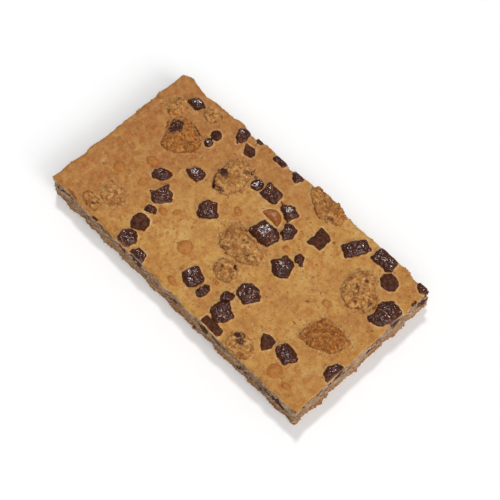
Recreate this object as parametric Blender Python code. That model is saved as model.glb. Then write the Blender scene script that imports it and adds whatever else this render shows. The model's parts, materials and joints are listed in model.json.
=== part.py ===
"""Granola bar: a thin baked slab of dough set with chocolate chunks and pieces of cookie.

The slab lies flat on Z = 0 with its long side along X, its short side along Y and its origin
at the middle of the underside. Each chocolate chunk and each piece of cookie sits in a pocket
of its own in the dough, with a fine gap all round it. The pieces at the rim were cut through
with the dough, so they end flush with its side.
"""
import math
import random
from typing import NamedTuple

import bmesh
import bpy
from mathutils import Matrix, Vector, noise

MM = 0.001

# The slab, in millimetres
BAR_LENGTH = 100.0
BAR_WIDTH = 52.0
BAR_HEIGHT = 8.6
CORNER_RADIUS = 0.9

# How finely the slab's skin is divided
CELLS_LONG = 46
CELLS_WIDE = 24
CELLS_HIGH = 4

# How far the skin strays from a plain block
SIDE_STRAY = 0.7
SIDE_GRAIN_LONG = 5.0
SIDE_GRAIN_HIGH = 2.6
FOOT_FLARE = 0.35
TOP_STRAY = 0.30
TOP_GRAIN = 9.0

# Share of a nick in the top rim that is left at the foot of the side
NICK_AT_FOOT = 0.3

# Fit of a piece in its pocket
GAP = 0.42
WAIST_DEPTH = 0.25
POCKET_TOP = 4.0

# Driving depths of the pieces
CHUNK_DEPTH = 2.4
COOKIE_DEPTH = 2.0
SIDE_CHIP_DEPTH = 1.6

# Outlines in a square from -1 to 1, counter-clockwise: each holds only its corners
BLOCK = ((-1, -0.9), (0.3, -1), (0.9, -0.8), (1, 0.3), (0.55, 0.95), (-0.3, 0.9), (-0.95, 1))
BRICK = ((-1, -0.85), (0.6, -1), (1, -0.7), (0.95, 0.8), (0.2, 1), (-0.9, 0.95))
FLAG = ((-0.8, -1), (0.1, -0.8), (1, -0.75), (0.95, 0.65), (0, 0.9), (-1, 1), (-0.7, -0.1))
HORN = ((-1, -0.3), (-0.2, -0.95), (0.5, -1), (1, -0.45), (0.5, 0.9), (-0.4, 1), (-0.5, 0.5))
SHARD = ((-0.4, -0.5), (0.4, -1), (0.95, -0.1), (0.7, 0.9), (-0.3, 1), (-1, 0.6))
TOOTH = ((-1, -0.3), (-0.3, -0.4), (0.3, -0.95), (0.75, -1), (1, 0.6), (0.4, 0.75), (-0.4, 1))
WEDGE = ((-0.5, -0.2), (-0.1, -1), (0.85, -0.65), (1, 0.1), (0.4, 1), (-1, 0.8))
CROWN = (
    (-1, -0.5), (-0.65, -0.65), (-0.1, -1), (0.35, -0.8), (1, 0),
    (0.45, 0.6), (0, 0.6), (-0.3, 1), (-0.4, 0.35), (-0.6, -0.2),
)
LUMP = (
    (-1, 0.2), (-0.85, -0.5), (-0.3, -0.9), (0.4, -1), (0.6, -0.45),
    (1, 0.25), (0.45, 0.8), (0, 1), (-0.6, 0.8),
)
BOOT = (
    (-0.75, -0.3), (-0.9, -0.9), (-0.45, -1), (0.1, -0.9), (0.4, -0.3),
    (1, 0.15), (0.6, 0.8), (0, 1), (-0.6, 0.9), (-1, 0.5),
)

# Outlines of the larger pieces of cookie
KITE = (
    (-1, 0.15), (-0.6, -0.3), (-0.45, -0.8), (-0.1, -1), (0.5, -0.6), (1, 0.05),
    (0.75, 0.5), (0.15, 0.9), (-0.25, 1), (-0.65, 0.95), (-0.9, 0.65),
)
LOAF = (
    (-1, 0.35), (-0.75, -0.15), (-0.45, -0.55), (0.1, -1), (0.55, -0.85), (1, -0.1),
    (0.9, 0.6), (0.6, 0.9), (0.25, 1), (-0.3, 0.85), (-0.85, 0.85),
)
RUBBLE = (
    (-1, 0.65), (-0.9, 0.1), (-1, -0.45), (-0.6, -0.9), (-0.05, -1), (0.6, -0.8),
    (1, -0.25), (0.9, 0.45), (0.55, 0.5), (0.2, 0.7), (-0.3, 0.75), (-0.65, 1),
)
BEAN = (
    (-1, -0.05), (-0.85, -0.55), (-0.4, -0.9), (0.15, -1), (0.4, -0.7), (0.9, -0.65),
    (1, -0.2), (0.75, 0.25), (0.3, 0.45), (0.05, 0.85), (-0.4, 1), (-0.85, 0.65),
)
SLAB = (
    (-1, -0.2), (-0.9, -1), (-0.5, -0.95), (-0.15, -0.95), (0.3, -0.7), (0.65, -0.5),
    (0.9, 0.2), (1, 0.85), (0.5, 0.9), (0, 1), (-0.65, 0.95), (-0.85, 0.4),
)


def round_outline(corners, lobes=0, lobe_height=0.0, wobble=0.07, seed=1):
    """A rounded outline of equal steps, with lobes and an uneven edge."""
    draw = random.Random(seed)
    points = []
    for n in range(corners):
        angle = 2 * math.pi * n / corners
        reach = 1 + lobe_height * math.cos(lobes * angle) + draw.uniform(-wobble, wobble)
        points.append((reach * math.cos(angle), reach * math.sin(angle)))
    return tuple(points)


def half_round_outline(corners):
    """A half-disc with its straight edge towards -Y."""
    angles = [math.pi * n / (corners - 1) for n in range(corners)]
    return tuple((math.cos(angle), 2 * math.sin(angle) - 1) for angle in angles)


PEBBLE = round_outline(8, seed=4)
OVAL = round_outline(14, wobble=0.06, seed=9)
CLOVER = round_outline(12, lobes=4, lobe_height=0.14, wobble=0.04, seed=2)
CRISP = round_outline(10, wobble=0.05, seed=6)
DOME = half_round_outline(13)


class Piece(NamedTuple):
    """One thing set in the dough: its middle, its size, its turn in degrees and its form."""

    x: float
    y: float
    length: float
    width: float
    turn: float
    outline: tuple
    rise: float
    depth: float = CHUNK_DEPTH


# Chocolate chunks, from the -X end to the +X end
CHUNKS = (
    Piece(-39.5, 20.8, 4.8, 4.0, 50, WEDGE, 1.3),
    Piece(-22.2, 23.0, 4.0, 5.0, 0, SHARD, 1.0),
    Piece(-27.5, 17.8, 3.7, 3.4, 0, PEBBLE, 0.6),
    Piece(-27.1, 14.5, 2.8, 2.6, 0, PEBBLE, 0.8),
    Piece(-17.1, 21.0, 4.6, 3.6, 0, WEDGE, 0.4),
    Piece(-21.9, 4.2, 5.6, 4.2, 46, WEDGE, 1.2),
    Piece(-28.8, -2.7, 6.3, 3.6, 42, PEBBLE, 0.9),
    Piece(-23.6, -6.9, 7.4, 7.4, 0, CROWN, 0.8),
    Piece(-22.1, -12.7, 3.0, 3.6, 90, WEDGE, 0.5),
    Piece(-21.2, -17.7, 6.0, 5.6, -30, LUMP, 0.7),
    Piece(-19.8, -23.8, 5.6, 6.4, 0, LUMP, 0.9, 4.2),
    Piece(-13.8, -26.0, 6.4, 5.6, 0, HORN, 0.7, 4.2),
    Piece(-17.0, 26.4, 3.2, 3.0, 0, PEBBLE, 0.4),
    Piece(-7.9, 26.2, 4.8, 3.8, 0, BLOCK, 0.5, 3.0),
    Piece(-1.0, 25.6, 4.6, 5.4, 10, SHARD, 0.5, 3.0),
    Piece(-7.1, 14.9, 3.4, 3.8, 0, PEBBLE, 0.9),
    Piece(-1.8, 15.8, 6.0, 5.0, 5, BLOCK, 1.1),
    Piece(5.6, 15.1, 5.7, 4.5, 0, TOOTH, 1.0),
    Piece(10.2, 10.3, 4.6, 5.2, 0, SHARD, 0.9),
    Piece(6.1, 5.6, 7.8, 6.2, -2, BLOCK, 1.3),
    Piece(-10.7, -0.9, 6.4, 6.2, 75, LUMP, 0.9),
    Piece(16.8, 1.7, 7.2, 6.4, 0, HORN, 1.0),
    Piece(18.9, 6.7, 3.6, 2.8, 180, WEDGE, 0.7),
    Piece(1.9, -18.6, 6.0, 6.0, 20, CLOVER, 1.1),
    Piece(7.0, -19.4, 2.8, 4.6, 0, PEBBLE, 0.9),
    Piece(16.6, -11.0, 7.0, 6.2, 0, LUMP, 0.9),
    Piece(12.9, -15.7, 4.2, 2.8, 46, PEBBLE, 0.7),
    Piece(15.4, -20.0, 6.6, 6.4, 90, LUMP, 0.9),
    Piece(16.4, -25.1, 7.2, 3.0, 0, BRICK, 0.4, 1.2),
    Piece(18.0, 15.3, 4.8, 6.6, 0, FLAG, 0.5),
    Piece(27.1, 20.6, 7.8, 4.4, 63, BRICK, 0.9),
    Piece(35.3, 24.7, 7.0, 6.2, 4, BRICK, 0.8, 3.2),
    Piece(40.9, 19.8, 6.2, 4.9, -15, PEBBLE, 0.4),
    Piece(48.9, 25.6, 4.8, 3.8, 0, PEBBLE, 0.4, 3.4),
    Piece(47.6, 11.9, 8.0, 9.0, 0, BOOT, 1.0, 4.6),
    Piece(49.9, -10.5, 6.4, 6.4, 0, PEBBLE, 0.8, 3.6),
    Piece(30.3, -17.6, 4.8, 4.8, 0, SHARD, 0.4),
    Piece(36.7, -16.0, 6.8, 5.0, 0, LUMP, 0.9),
)

# Numbers of the chunks that are dry and brown instead of glossy
DULL_CHUNKS = (3, 5, 10, 29, 30, 33, 37)

# Pieces of crumbled cookie, from the -X end to the +X end
COOKIES = (
    Piece(-43.3, 16.3, 6.0, 6.4, 0, OVAL, 0.30, COOKIE_DEPTH),
    Piece(-34.2, 9.7, 13.4, 12.0, 0, KITE, 0.90, COOKIE_DEPTH),
    Piece(-33.6, 22.0, 5.8, 4.6, 0, OVAL, 0.30, COOKIE_DEPTH),
    Piece(-33.0, -17.4, 7.8, 6.6, 10, OVAL, 0.35, COOKIE_DEPTH),
    Piece(-36.0, -22.9, 7.6, 3.2, -6, OVAL, 0.40, COOKIE_DEPTH),
    Piece(-13.9, 11.6, 8.8, 13.4, 4, OVAL, 0.80, COOKIE_DEPTH),
    Piece(11.6, 24.1, 14.4, 6.8, -3, LOAF, 0.60, COOKIE_DEPTH),
    Piece(4.4, -1.9, 14.4, 9.2, 0, RUBBLE, 1.00, COOKIE_DEPTH),
    Piece(6.6, -10.5, 7.2, 6.0, 0, OVAL, 0.70, COOKIE_DEPTH),
    Piece(37.6, 12.4, 11.2, 12.0, 0, BEAN, 0.80, COOKIE_DEPTH),
    Piece(40.5, -5.0, 11.8, 9.6, 0, SLAB, 0.50, COOKIE_DEPTH),
    Piece(26.0, -23.4, 8.0, 6.4, 0, OVAL, 0.35, COOKIE_DEPTH),
)

# The piece of cookie that was too hard for the knife and stands out past the back side
OVERHANGING_COOKIE = 7

CARAMEL = Piece(3.6, 11.4, 6.6, 3.6, -3, DOME, 0.7, COOKIE_DEPTH)

# Puffed grains under the skin, which swell it without breaking through
CRISPS = (
    Piece(-39.3, -9.7, 3.6, 3.4, 0, CRISP, 0.40, 1.0),
    Piece(-19.5, -10.6, 2.6, 2.2, 0, CRISP, 0.45, 1.0),
    Piece(-6.5, -13.8, 4.4, 4.4, 0, CRISP, 0.45, 1.0),
    Piece(37.8, -21.5, 4.4, 4.2, 0, CRISP, 0.40, 1.0),
    Piece(-1.2, -23.5, 4.0, 1.8, -10, CRISP, 0.30, 1.0),
    Piece(-33.8, -1.6, 4.4, 3.0, 0, CRISP, 0.30, 1.0),
    Piece(43.0, -22.5, 3.2, 1.8, 0, CRISP, 0.30, 1.0),
    Piece(-16.5, -8.0, 1.8, 2.4, 0, CRISP, 0.30, 1.0),
    Piece(-4.6, 4.9, 3.4, 2.0, -30, CRISP, 0.30, 1.0),
    Piece(33.5, 2.7, 3.0, 2.4, 0, CRISP, 0.25, 1.0),
    Piece(-30.8, -8.2, 2.6, 3.2, 0, CRISP, 0.25, 1.0),
    Piece(13.6, 6.4, 2.2, 2.0, 0, CRISP, 0.30, 1.0),
)


class Nick(NamedTuple):
    """A place where the top rim broke inwards, or stands out where its depth is negative."""

    along: float
    reach: float
    depth: float


NICKS = {
    "front": (),
    "back": (
        Nick(-46.0, 3.5, -0.3),
        Nick(-39.2, 2.8, 1.1),
        Nick(-24.0, 2.2, -0.3),
        Nick(-19.5, 2.0, 0.6),
        Nick(-5.0, 2.6, 0.7),
        Nick(3.0, 2.6, -0.5),
        Nick(21.0, 3.0, -0.3),
        Nick(27.4, 2.0, 0.4),
        Nick(40.0, 3.0, -0.5),
        Nick(44.6, 1.8, 0.4),
    ),
    "start": (Nick(20.0, 15.0, -0.55),),
    "end": (Nick(24.0, 6.0, -0.3),),
}


class SideChip(NamedTuple):
    """A chunk that the knife cut through, seen on a side: its place along the side and height."""

    side: str
    along: float
    height: float
    length: float
    width: float
    turn: float
    outline: tuple


SIDE_CHIPS = (
    SideChip("front", -46.6, 3.0, 4.4, 1.5, -22, PEBBLE),
    SideChip("front", 14.2, 4.2, 3.4, 2.8, -40, LUMP),
    SideChip("front", 31.0, 5.3, 3.9, 1.6, 0, PEBBLE),
    SideChip("front", 44.2, 4.2, 5.0, 4.0, -45, BOOT),
    SideChip("end", 6.6, 3.4, 3.4, 1.6, -20, PEBBLE),
    SideChip("end", -16.0, 4.4, 1.6, 3.0, 0, PEBBLE),
)


def linear(colour):
    """A colour as seen on a screen, 0 to 255, turned into the shader's linear values."""
    return tuple((channel / 255) ** 2.2 for channel in colour) + (1.0,)


def make_material(name, colour, roughness):
    """A plain coloured material."""
    material = bpy.data.materials.new(name)
    material.use_nodes = True
    shader = material.node_tree.nodes["Principled BSDF"]
    shader.inputs["Base Color"].default_value = linear(colour)
    shader.inputs["Roughness"].default_value = roughness
    shader.inputs["Metallic"].default_value = 0.0
    material.diffuse_color = linear(colour)
    return material


def make_object(name, mesh, material, matrix, collection, parent=None):
    """A named object, placed by its location and rotation under its parent."""
    node = bpy.data.objects.new(name, mesh)
    collection.objects.link(node)
    mesh.materials.append(material)
    node.parent = parent
    node.location = matrix.to_translation()
    node.rotation_euler = matrix.to_euler()
    return node


def stray(a, b, c, reach):
    """An uneven offset in millimetres that is the same each run."""
    return reach * noise.noise(Vector((a, b, c)))


def rounded_corner(x, y):
    """Draws the slab's square plan in at its four upright corners."""
    over_x = abs(x) - (BAR_LENGTH / 2 - CORNER_RADIUS)
    over_y = abs(y) - (BAR_WIDTH / 2 - CORNER_RADIUS)
    if over_x <= 0 or over_y <= 0:
        return x, y
    scale = max(over_x, over_y) / math.hypot(over_x, over_y)
    x = math.copysign(BAR_LENGTH / 2 - CORNER_RADIUS + over_x * scale, x)
    y = math.copysign(BAR_WIDTH / 2 - CORNER_RADIUS + over_y * scale, y)
    return x, y


def nicked(side, along, share):
    """How far a side lies inside its plane because of the nicks in its rim, in millimetres."""
    depths = (nick.depth * math.exp(-(((along - nick.along) / nick.reach) ** 2)) for nick in NICKS[side])
    return sum(depths) * (NICK_AT_FOOT + (1 - NICK_AT_FOOT) * share)


def slab_point(i, j, k):
    """The place in millimetres of a lattice point on the slab's skin."""
    x = BAR_LENGTH * (i / CELLS_LONG - 0.5)
    y = BAR_WIDTH * (j / CELLS_WIDE - 0.5)
    z = BAR_HEIGHT * k / CELLS_HIGH
    share = k / CELLS_HIGH
    high = z / SIDE_GRAIN_HIGH
    flare = FOOT_FLARE * (1 - share) ** 3
    push_x = 0.0
    push_y = 0.0
    if i in (0, CELLS_LONG):
        push_x = flare + stray(x, y / SIDE_GRAIN_LONG, high, SIDE_STRAY)
        push_x -= nicked("start" if i == 0 else "end", y, share)
    if j in (0, CELLS_WIDE):
        push_y = flare + stray(x / SIDE_GRAIN_LONG, y, high, SIDE_STRAY)
        push_y -= nicked("front" if j == 0 else "back", x, share)
    if k == CELLS_HIGH:
        z += stray(x / TOP_GRAIN, y / TOP_GRAIN, z, TOP_STRAY)
    x, y = rounded_corner(x, y)
    return x + math.copysign(1, x) * push_x, y + math.copysign(1, y) * push_y, z


def slab_mesh():
    """The bare slab: an uneven top and four uneven sides over one flat face to rest on."""
    bm = bmesh.new()
    points = {}
    for i in range(CELLS_LONG + 1):
        for j in range(CELLS_WIDE + 1):
            on_side = i in (0, CELLS_LONG) or j in (0, CELLS_WIDE)
            for k in range(CELLS_HIGH + 1):
                if on_side or k == CELLS_HIGH:
                    place = Vector(slab_point(i, j, k)) * MM
                    points[i, j, k] = bm.verts.new(place)
    for i in range(CELLS_LONG):
        for j in range(CELLS_WIDE):
            ring = ((i, j), (i + 1, j), (i + 1, j + 1), (i, j + 1))
            bm.faces.new([points[a, b, CELLS_HIGH] for a, b in ring])
    rim = (
        [(i, 0) for i in range(CELLS_LONG)]
        + [(CELLS_LONG, j) for j in range(CELLS_WIDE)]
        + [(i, CELLS_WIDE) for i in range(CELLS_LONG, 0, -1)]
        + [(0, j) for j in range(CELLS_WIDE, 0, -1)]
    )
    for here, after in zip(rim, rim[1:] + rim[:1]):
        for k in range(CELLS_HIGH):
            corners = ((*here, k), (*after, k), (*after, k + 1), (*here, k + 1))
            bm.faces.new([points[c] for c in corners])
    bm.faces.new([points[(*c, 0)] for c in reversed(rim)])
    return finished_mesh("dough", bm)


def finished_mesh(name, bm):
    """Turns a bmesh into a mesh with its faces pointing out."""
    bmesh.ops.recalc_face_normals(bm, faces=bm.faces)
    mesh = bpy.data.meshes.new(name)
    bm.to_mesh(mesh)
    bm.free()
    return mesh


def stacked_rings(outline, length, width, levels, grow=0.0, rough=0.0, tilt=(0, 0), seed=0):
    """A closed solid of rings of one outline, each at its own scale and height.

    The outline fills length by width, in millimetres, and grow widens it all round. Levels run
    from the bottom up as (scale, height); the top two rings get the roughness and the tilt.
    """
    draw = random.Random(seed)
    bm = bmesh.new()
    rings = []
    for level, (scale, height) in enumerate(levels):
        upper = level >= len(levels) - 2
        ring = []
        for u, v in outline:
            flat = Vector((u * length / 2, v * width / 2, 0))
            flat += flat.normalized() * grow
            flat *= scale
            z = height
            if upper:
                z += draw.uniform(-rough, rough) + tilt[0] * flat.x + tilt[1] * flat.y
            ring.append(bm.verts.new(Vector((flat.x, flat.y, z)) * MM))
        rings.append(ring)
    for low, high in zip(rings, rings[1:]):
        for n in range(len(low)):
            after = (n + 1) % len(low)
            bm.faces.new((low[n], low[after], high[after], high[n]))
    bm.faces.new(list(reversed(rings[0])))
    top = sum((vert.co for vert in rings[-1]), Vector()) / len(rings[-1])
    apex = bm.verts.new(top + Vector((0, 0, 0.4 * rough * MM)))
    for n in range(len(outline)):
        bm.faces.new((rings[-1][n], rings[-1][(n + 1) % len(outline)], apex))
    bmesh.ops.recalc_face_normals(bm, faces=bm.faces)
    return bm


def cut_flush(bm, matrix):
    """Cuts away what would stand out past the slab's sides and corners, and closes the cuts."""
    inverse = matrix.inverted()
    half_length = BAR_LENGTH / 2
    half_width = BAR_WIDTH / 2
    arc_middle = (half_length + half_width - 2 * CORNER_RADIUS) / math.sqrt(2) + CORNER_RADIUS
    planes = (
        (Vector((1, 0, 0)), half_length),
        (Vector((-1, 0, 0)), half_length),
        (Vector((0, 1, 0)), half_width),
        (Vector((0, -1, 0)), half_width),
        (Vector((1, 1, 0)).normalized(), arc_middle),
    )
    for outward, reach in planes:
        place = inverse @ (outward * reach * MM)
        normal = inverse.to_3x3() @ outward
        everything = bm.verts[:] + bm.edges[:] + bm.faces[:]
        cut = bmesh.ops.bisect_plane(
            bm, geom=everything, plane_co=place, plane_no=normal, clear_outer=True, dist=1e-7
        )
        edges = [item for item in cut["geom_cut"] if isinstance(item, bmesh.types.BMEdge)]
        if edges:
            bmesh.ops.edgenet_fill(bm, edges=edges)


def top_matrix(piece):
    """The frame of a piece in the top: its origin lies on the slab's top, above its middle."""
    turn = Matrix.Rotation(math.radians(piece.turn), 4, "Z")
    return Matrix.Translation(Vector((piece.x, piece.y, BAR_HEIGHT)) * MM) @ turn


def side_matrix(chip):
    """The frame of a chip in a side: its Z points out of the dough."""
    if chip.side == "front":
        place = Vector((chip.along, -BAR_WIDTH / 2, chip.height))
        upright = Matrix(((1, 0, 0), (0, 0, -1), (0, 1, 0))).to_4x4()
    else:
        place = Vector((BAR_LENGTH / 2, chip.along, chip.height))
        upright = Matrix(((0, 0, 1), (1, 0, 0), (0, 1, 0))).to_4x4()
    turn = Matrix.Rotation(math.radians(chip.turn), 4, "Z")
    return Matrix.Translation(place * MM) @ upright @ turn


def pocket_mesh(name, outline, length, width, depth):
    """A cutter for a pocket: the piece's lower form, a gap wider, and open above."""
    levels = ((0.78, -depth - GAP), (1.0, -WAIST_DEPTH - GAP), (1.0, POCKET_TOP))
    return finished_mesh(name, stacked_rings(outline, length, width, levels, grow=GAP))


def chunk_mesh(name, piece, seed):
    """A broken chunk of chocolate: flat facets, a blunt crown and a slight tilt of its own."""
    draw = random.Random(seed)
    levels = (
        (0.78, -piece.depth),
        (1.0, -WAIST_DEPTH),
        (0.94, 0.55 * piece.rise),
        (0.6, piece.rise),
    )
    tilt = (draw.uniform(-0.08, 0.08), draw.uniform(-0.08, 0.08))
    bm = stacked_rings(
        piece.outline, piece.length, piece.width, levels, rough=0.15, tilt=tilt, seed=seed
    )
    cut_flush(bm, top_matrix(piece))
    return finished_mesh(name, bm)


def cookie_mesh(name, piece, seed, flush=True):
    """A piece of cookie: a low craggy dome whose crown is broken into knobs and hollows."""
    levels = (
        (0.82, -piece.depth),
        (1.0, -WAIST_DEPTH),
        (0.97, 0.4 * piece.rise),
        (0.74, 0.85 * piece.rise),
        (0.38, piece.rise),
    )
    rough = 0.12 + 0.2 * piece.rise
    bm = stacked_rings(piece.outline, piece.length, piece.width, levels, rough=rough, seed=seed)
    if flush:
        cut_flush(bm, top_matrix(piece))
    return finished_mesh(name, bm)


def caramel_mesh(name, piece):
    """A smooth half-melted chip of caramel with a rounded crown."""
    levels = ((0.8, -piece.depth), (1.0, -WAIST_DEPTH))
    steps = 3
    for n in range(1, steps + 1):
        lift = math.sin(0.5 * math.pi * n / (steps + 1))
        draw_in = math.cos(0.5 * math.pi * n / (steps + 1))
        levels += ((draw_in, piece.rise * lift),)
    bm = stacked_rings(piece.outline, piece.length, piece.width, levels)
    return finished_mesh(name, bm)


def side_chip_mesh(name, chip):
    """A chunk cut through flat by the knife, so that only its section shows."""
    levels = ((0.7, -SIDE_CHIP_DEPTH), (1.0, -WAIST_DEPTH), (0.94, 0.1))
    return finished_mesh(name, stacked_rings(chip.outline, chip.length, chip.width, levels))


def crisp_mesh(name, piece):
    """A puffed grain as a flat lens, most of it inside the dough."""
    levels = ((0.5, -piece.depth), (1.0, -0.3), (0.75, 0.6 * piece.rise), (0.4, piece.rise))
    return finished_mesh(name, stacked_rings(piece.outline, piece.length, piece.width, levels))


def helper_collection(name):
    """A collection of shapes that are only joined to the dough or cut from it."""
    collection = bpy.data.collections.new(name)
    bpy.context.scene.collection.children.link(collection)
    return collection


def make_helper(name, mesh, material, matrix, collection):
    """A helper shape, drawn as wire and left out of the model."""
    helper = make_object(name, mesh, material, matrix, collection)
    helper.hide_render = True
    helper.display_type = "WIRE"
    return helper


def join_crisps(dough, material):
    """Fuses the puffed grains to the slab in one union, then removes their shapes."""
    grains = helper_collection("crisps")
    for number, piece in enumerate(CRISPS, start=1):
        name = f"crisp_{number:02d}"
        make_helper(name, crisp_mesh(name, piece), material, top_matrix(piece), grains)
    union = dough.modifiers.new("crisps", "BOOLEAN")
    union.operation = "UNION"
    union.operand_type = "COLLECTION"
    union.collection = grains
    bpy.context.view_layer.update()
    depsgraph = bpy.context.evaluated_depsgraph_get()
    fused = bpy.data.meshes.new_from_object(dough.evaluated_get(depsgraph))
    dough.modifiers.remove(union)
    dough.data = fused
    for grain in list(grains.objects):
        bpy.data.objects.remove(grain)
    bpy.data.collections.remove(grains)


def cut_pockets(dough, material):
    """Cuts one pocket in the slab for each piece that is set in it."""
    pockets = helper_collection("pockets")
    for number, piece in enumerate((*CHUNKS, *COOKIES, CARAMEL), start=1):
        name = f"pocket_{number:02d}"
        mesh = pocket_mesh(name, piece.outline, piece.length, piece.width, piece.depth)
        make_helper(name, mesh, material, top_matrix(piece), pockets)
    for number, chip in enumerate(SIDE_CHIPS, start=1):
        name = f"side_pocket_{number:02d}"
        mesh = pocket_mesh(name, chip.outline, chip.length, chip.width, SIDE_CHIP_DEPTH)
        make_helper(name, mesh, material, side_matrix(chip), pockets)
    cut = dough.modifiers.new("pockets", "BOOLEAN")
    cut.operation = "DIFFERENCE"
    cut.operand_type = "COLLECTION"
    cut.collection = pockets


def clear_scene():
    """Removes whatever the scene starts with."""
    for thing in list(bpy.data.objects):
        bpy.data.objects.remove(thing)


def main():
    """Builds the bar: the dough first, then everything that is set in it."""
    clear_scene()
    scene = bpy.context.scene.collection
    bar = bpy.data.objects.new("granola_bar", None)
    scene.objects.link(bar)

    dough_finish = make_material("dough", (180, 131, 75), 0.55)
    chocolate = make_material("chocolate", (58, 36, 33), 0.35)
    dull_chocolate = make_material("dull_chocolate", (88, 50, 38), 0.70)
    cookie = make_material("cookie", (166, 118, 66), 0.85)
    caramel = make_material("caramel", (168, 104, 48), 0.40)

    dough = make_object("dough", slab_mesh(), dough_finish, Matrix(), scene, bar)
    join_crisps(dough, dough_finish)
    cut_pockets(dough, dough_finish)

    for number, piece in enumerate(CHUNKS, start=1):
        name = f"chunk_{number:02d}"
        mesh = chunk_mesh(name, piece, seed=100 + number)
        finish = dull_chocolate if number in DULL_CHUNKS else chocolate
        make_object(name, mesh, finish, top_matrix(piece), scene, bar)
    for number, piece in enumerate(COOKIES, start=1):
        name = f"cookie_{number:02d}"
        overhangs = number == OVERHANGING_COOKIE
        mesh = cookie_mesh(name, piece, seed=200 + number, flush=not overhangs)
        make_object(name, mesh, cookie, top_matrix(piece), scene, bar)
    for number, chip in enumerate(SIDE_CHIPS, start=1):
        name = f"side_chip_{number:02d}"
        make_object(name, side_chip_mesh(name, chip), chocolate, side_matrix(chip), scene, bar)
    make_object(
        "caramel_chip", caramel_mesh("caramel_chip", CARAMEL), caramel,
        top_matrix(CARAMEL), scene, bar,
    )


main()
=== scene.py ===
"""The looks of a granola bar: baked dough set with chocolate chunks and pieces of cookie.

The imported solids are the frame. The dough, every chunk and every piece of cookie is made
again here as a fine mesh in the place of its solid, and gets a procedural finish. Lengths
are in millimetres until a mesh is finished, and in metres in Blender.
"""

from __future__ import annotations

import json
import logging
import math
from dataclasses import dataclass
from enum import Enum
from functools import partial
from typing import Callable, Iterable, NamedTuple, Sequence

import bmesh
import bpy
import numpy as np
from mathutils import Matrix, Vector, noise
from mathutils.bvhtree import BVHTree

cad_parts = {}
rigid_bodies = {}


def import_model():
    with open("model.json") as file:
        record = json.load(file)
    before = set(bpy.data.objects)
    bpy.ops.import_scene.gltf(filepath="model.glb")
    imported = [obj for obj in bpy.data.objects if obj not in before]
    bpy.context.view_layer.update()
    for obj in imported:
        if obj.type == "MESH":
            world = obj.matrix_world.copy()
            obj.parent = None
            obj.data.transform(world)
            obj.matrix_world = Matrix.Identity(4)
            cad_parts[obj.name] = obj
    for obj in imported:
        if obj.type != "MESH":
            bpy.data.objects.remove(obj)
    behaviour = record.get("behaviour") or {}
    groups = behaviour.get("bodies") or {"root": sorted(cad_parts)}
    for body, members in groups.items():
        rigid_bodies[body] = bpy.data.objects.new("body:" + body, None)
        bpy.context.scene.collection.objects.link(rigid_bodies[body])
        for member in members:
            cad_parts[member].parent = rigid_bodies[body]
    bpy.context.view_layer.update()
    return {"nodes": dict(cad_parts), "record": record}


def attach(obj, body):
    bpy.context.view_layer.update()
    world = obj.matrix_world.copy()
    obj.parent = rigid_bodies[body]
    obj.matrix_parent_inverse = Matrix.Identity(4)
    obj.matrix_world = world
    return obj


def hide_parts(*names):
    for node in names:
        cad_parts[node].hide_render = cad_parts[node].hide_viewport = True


MM = 0.001
BODY = "root"
log = logging.getLogger("granola_bar")

# The height of the slab's top, in millimetres
TOP = 8.6
# How deep a hollow in a chunk or a piece of cookie has to be to take its full colour: amber in a chunk, and
# painted shade in a piece of cookie
HOLLOW = 0.3

Colour = tuple[float, float, float, float]
Point = tuple[float, float, float]
Size = float | Sequence[float]
Inputs = dict[int | str, object]
Socket = bpy.types.NodeSocket


def tone(red: int, green: int, blue: int) -> Colour:
    """A colour as it looks on a screen, 0 to 255, in the shader's linear values."""

    def linear(channel: int) -> float:
        """One channel, from 0 to 1."""
        share = channel / 255
        return share / 12.92 if share <= 0.04045 else ((share + 0.055) / 1.055) ** 2.4

    return linear(red), linear(green), linear(blue), 1.0


def smooth(low: float, high: float, value: float) -> float:
    """A soft step from 0 at low to 1 at high, where low may be the larger."""
    share = min(1.0, max(0.0, (value - low) / (high - low)))
    return share * share * (3 - 2 * share)


def wave(x: float, y: float, z: float) -> float:
    """Soft noise from about -0.5 to 0.5, the same each run."""
    return noise.noise(Vector((x, y, z)))


class Mark(NamedTuple):
    """An oval place on the top: its middle, its size, its turn in degrees and its strength."""

    x: float
    y: float
    length: float
    width: float
    turn: float
    strength: float

    def radius(self, x: float, y: float) -> float:
        """How far a point is from the middle: 0 there and 1 on the oval."""
        turn = math.radians(self.turn)
        along = (x - self.x) * math.cos(turn) + (y - self.y) * math.sin(turn)
        across = (y - self.y) * math.cos(turn) - (x - self.x) * math.sin(turn)
        return math.hypot(2 * along / self.length, 2 * across / self.width)


def mark_rows(*rows: tuple[float, ...]) -> tuple[Mark, ...]:
    """Marks from rows of their values, in the order of their fields."""
    return tuple(Mark(*row) for row in rows)


# Puffed grains that swell the dough's skin: strength is their rise
CRISPS = mark_rows(
    (-39.3, -9.7, 3.6, 3.4, 0, 0.40), (-19.5, -10.6, 2.6, 2.2, 0, 0.45),
    (-6.5, -13.8, 4.4, 4.4, 0, 0.45), (37.8, -21.5, 4.4, 4.2, 0, 0.40),
    (-1.2, -23.5, 4.0, 1.8, -10, 0.30), (-33.8, -1.6, 4.4, 3.0, 0, 0.30),
    (43.0, -22.5, 3.2, 1.8, 0, 0.30), (-16.5, -8.0, 1.8, 2.4, 0, 0.30),
    (-4.6, 4.9, 3.4, 2.0, -30, 0.30), (33.5, 2.7, 3.0, 2.4, 0, 0.25),
    (-30.8, -8.2, 2.6, 3.2, 0, 0.25), (13.6, 6.4, 2.2, 2.0, 0, 0.30),
    (7.4, -14.9, 2.8, 1.2, -15, 0.20),
)
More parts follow.
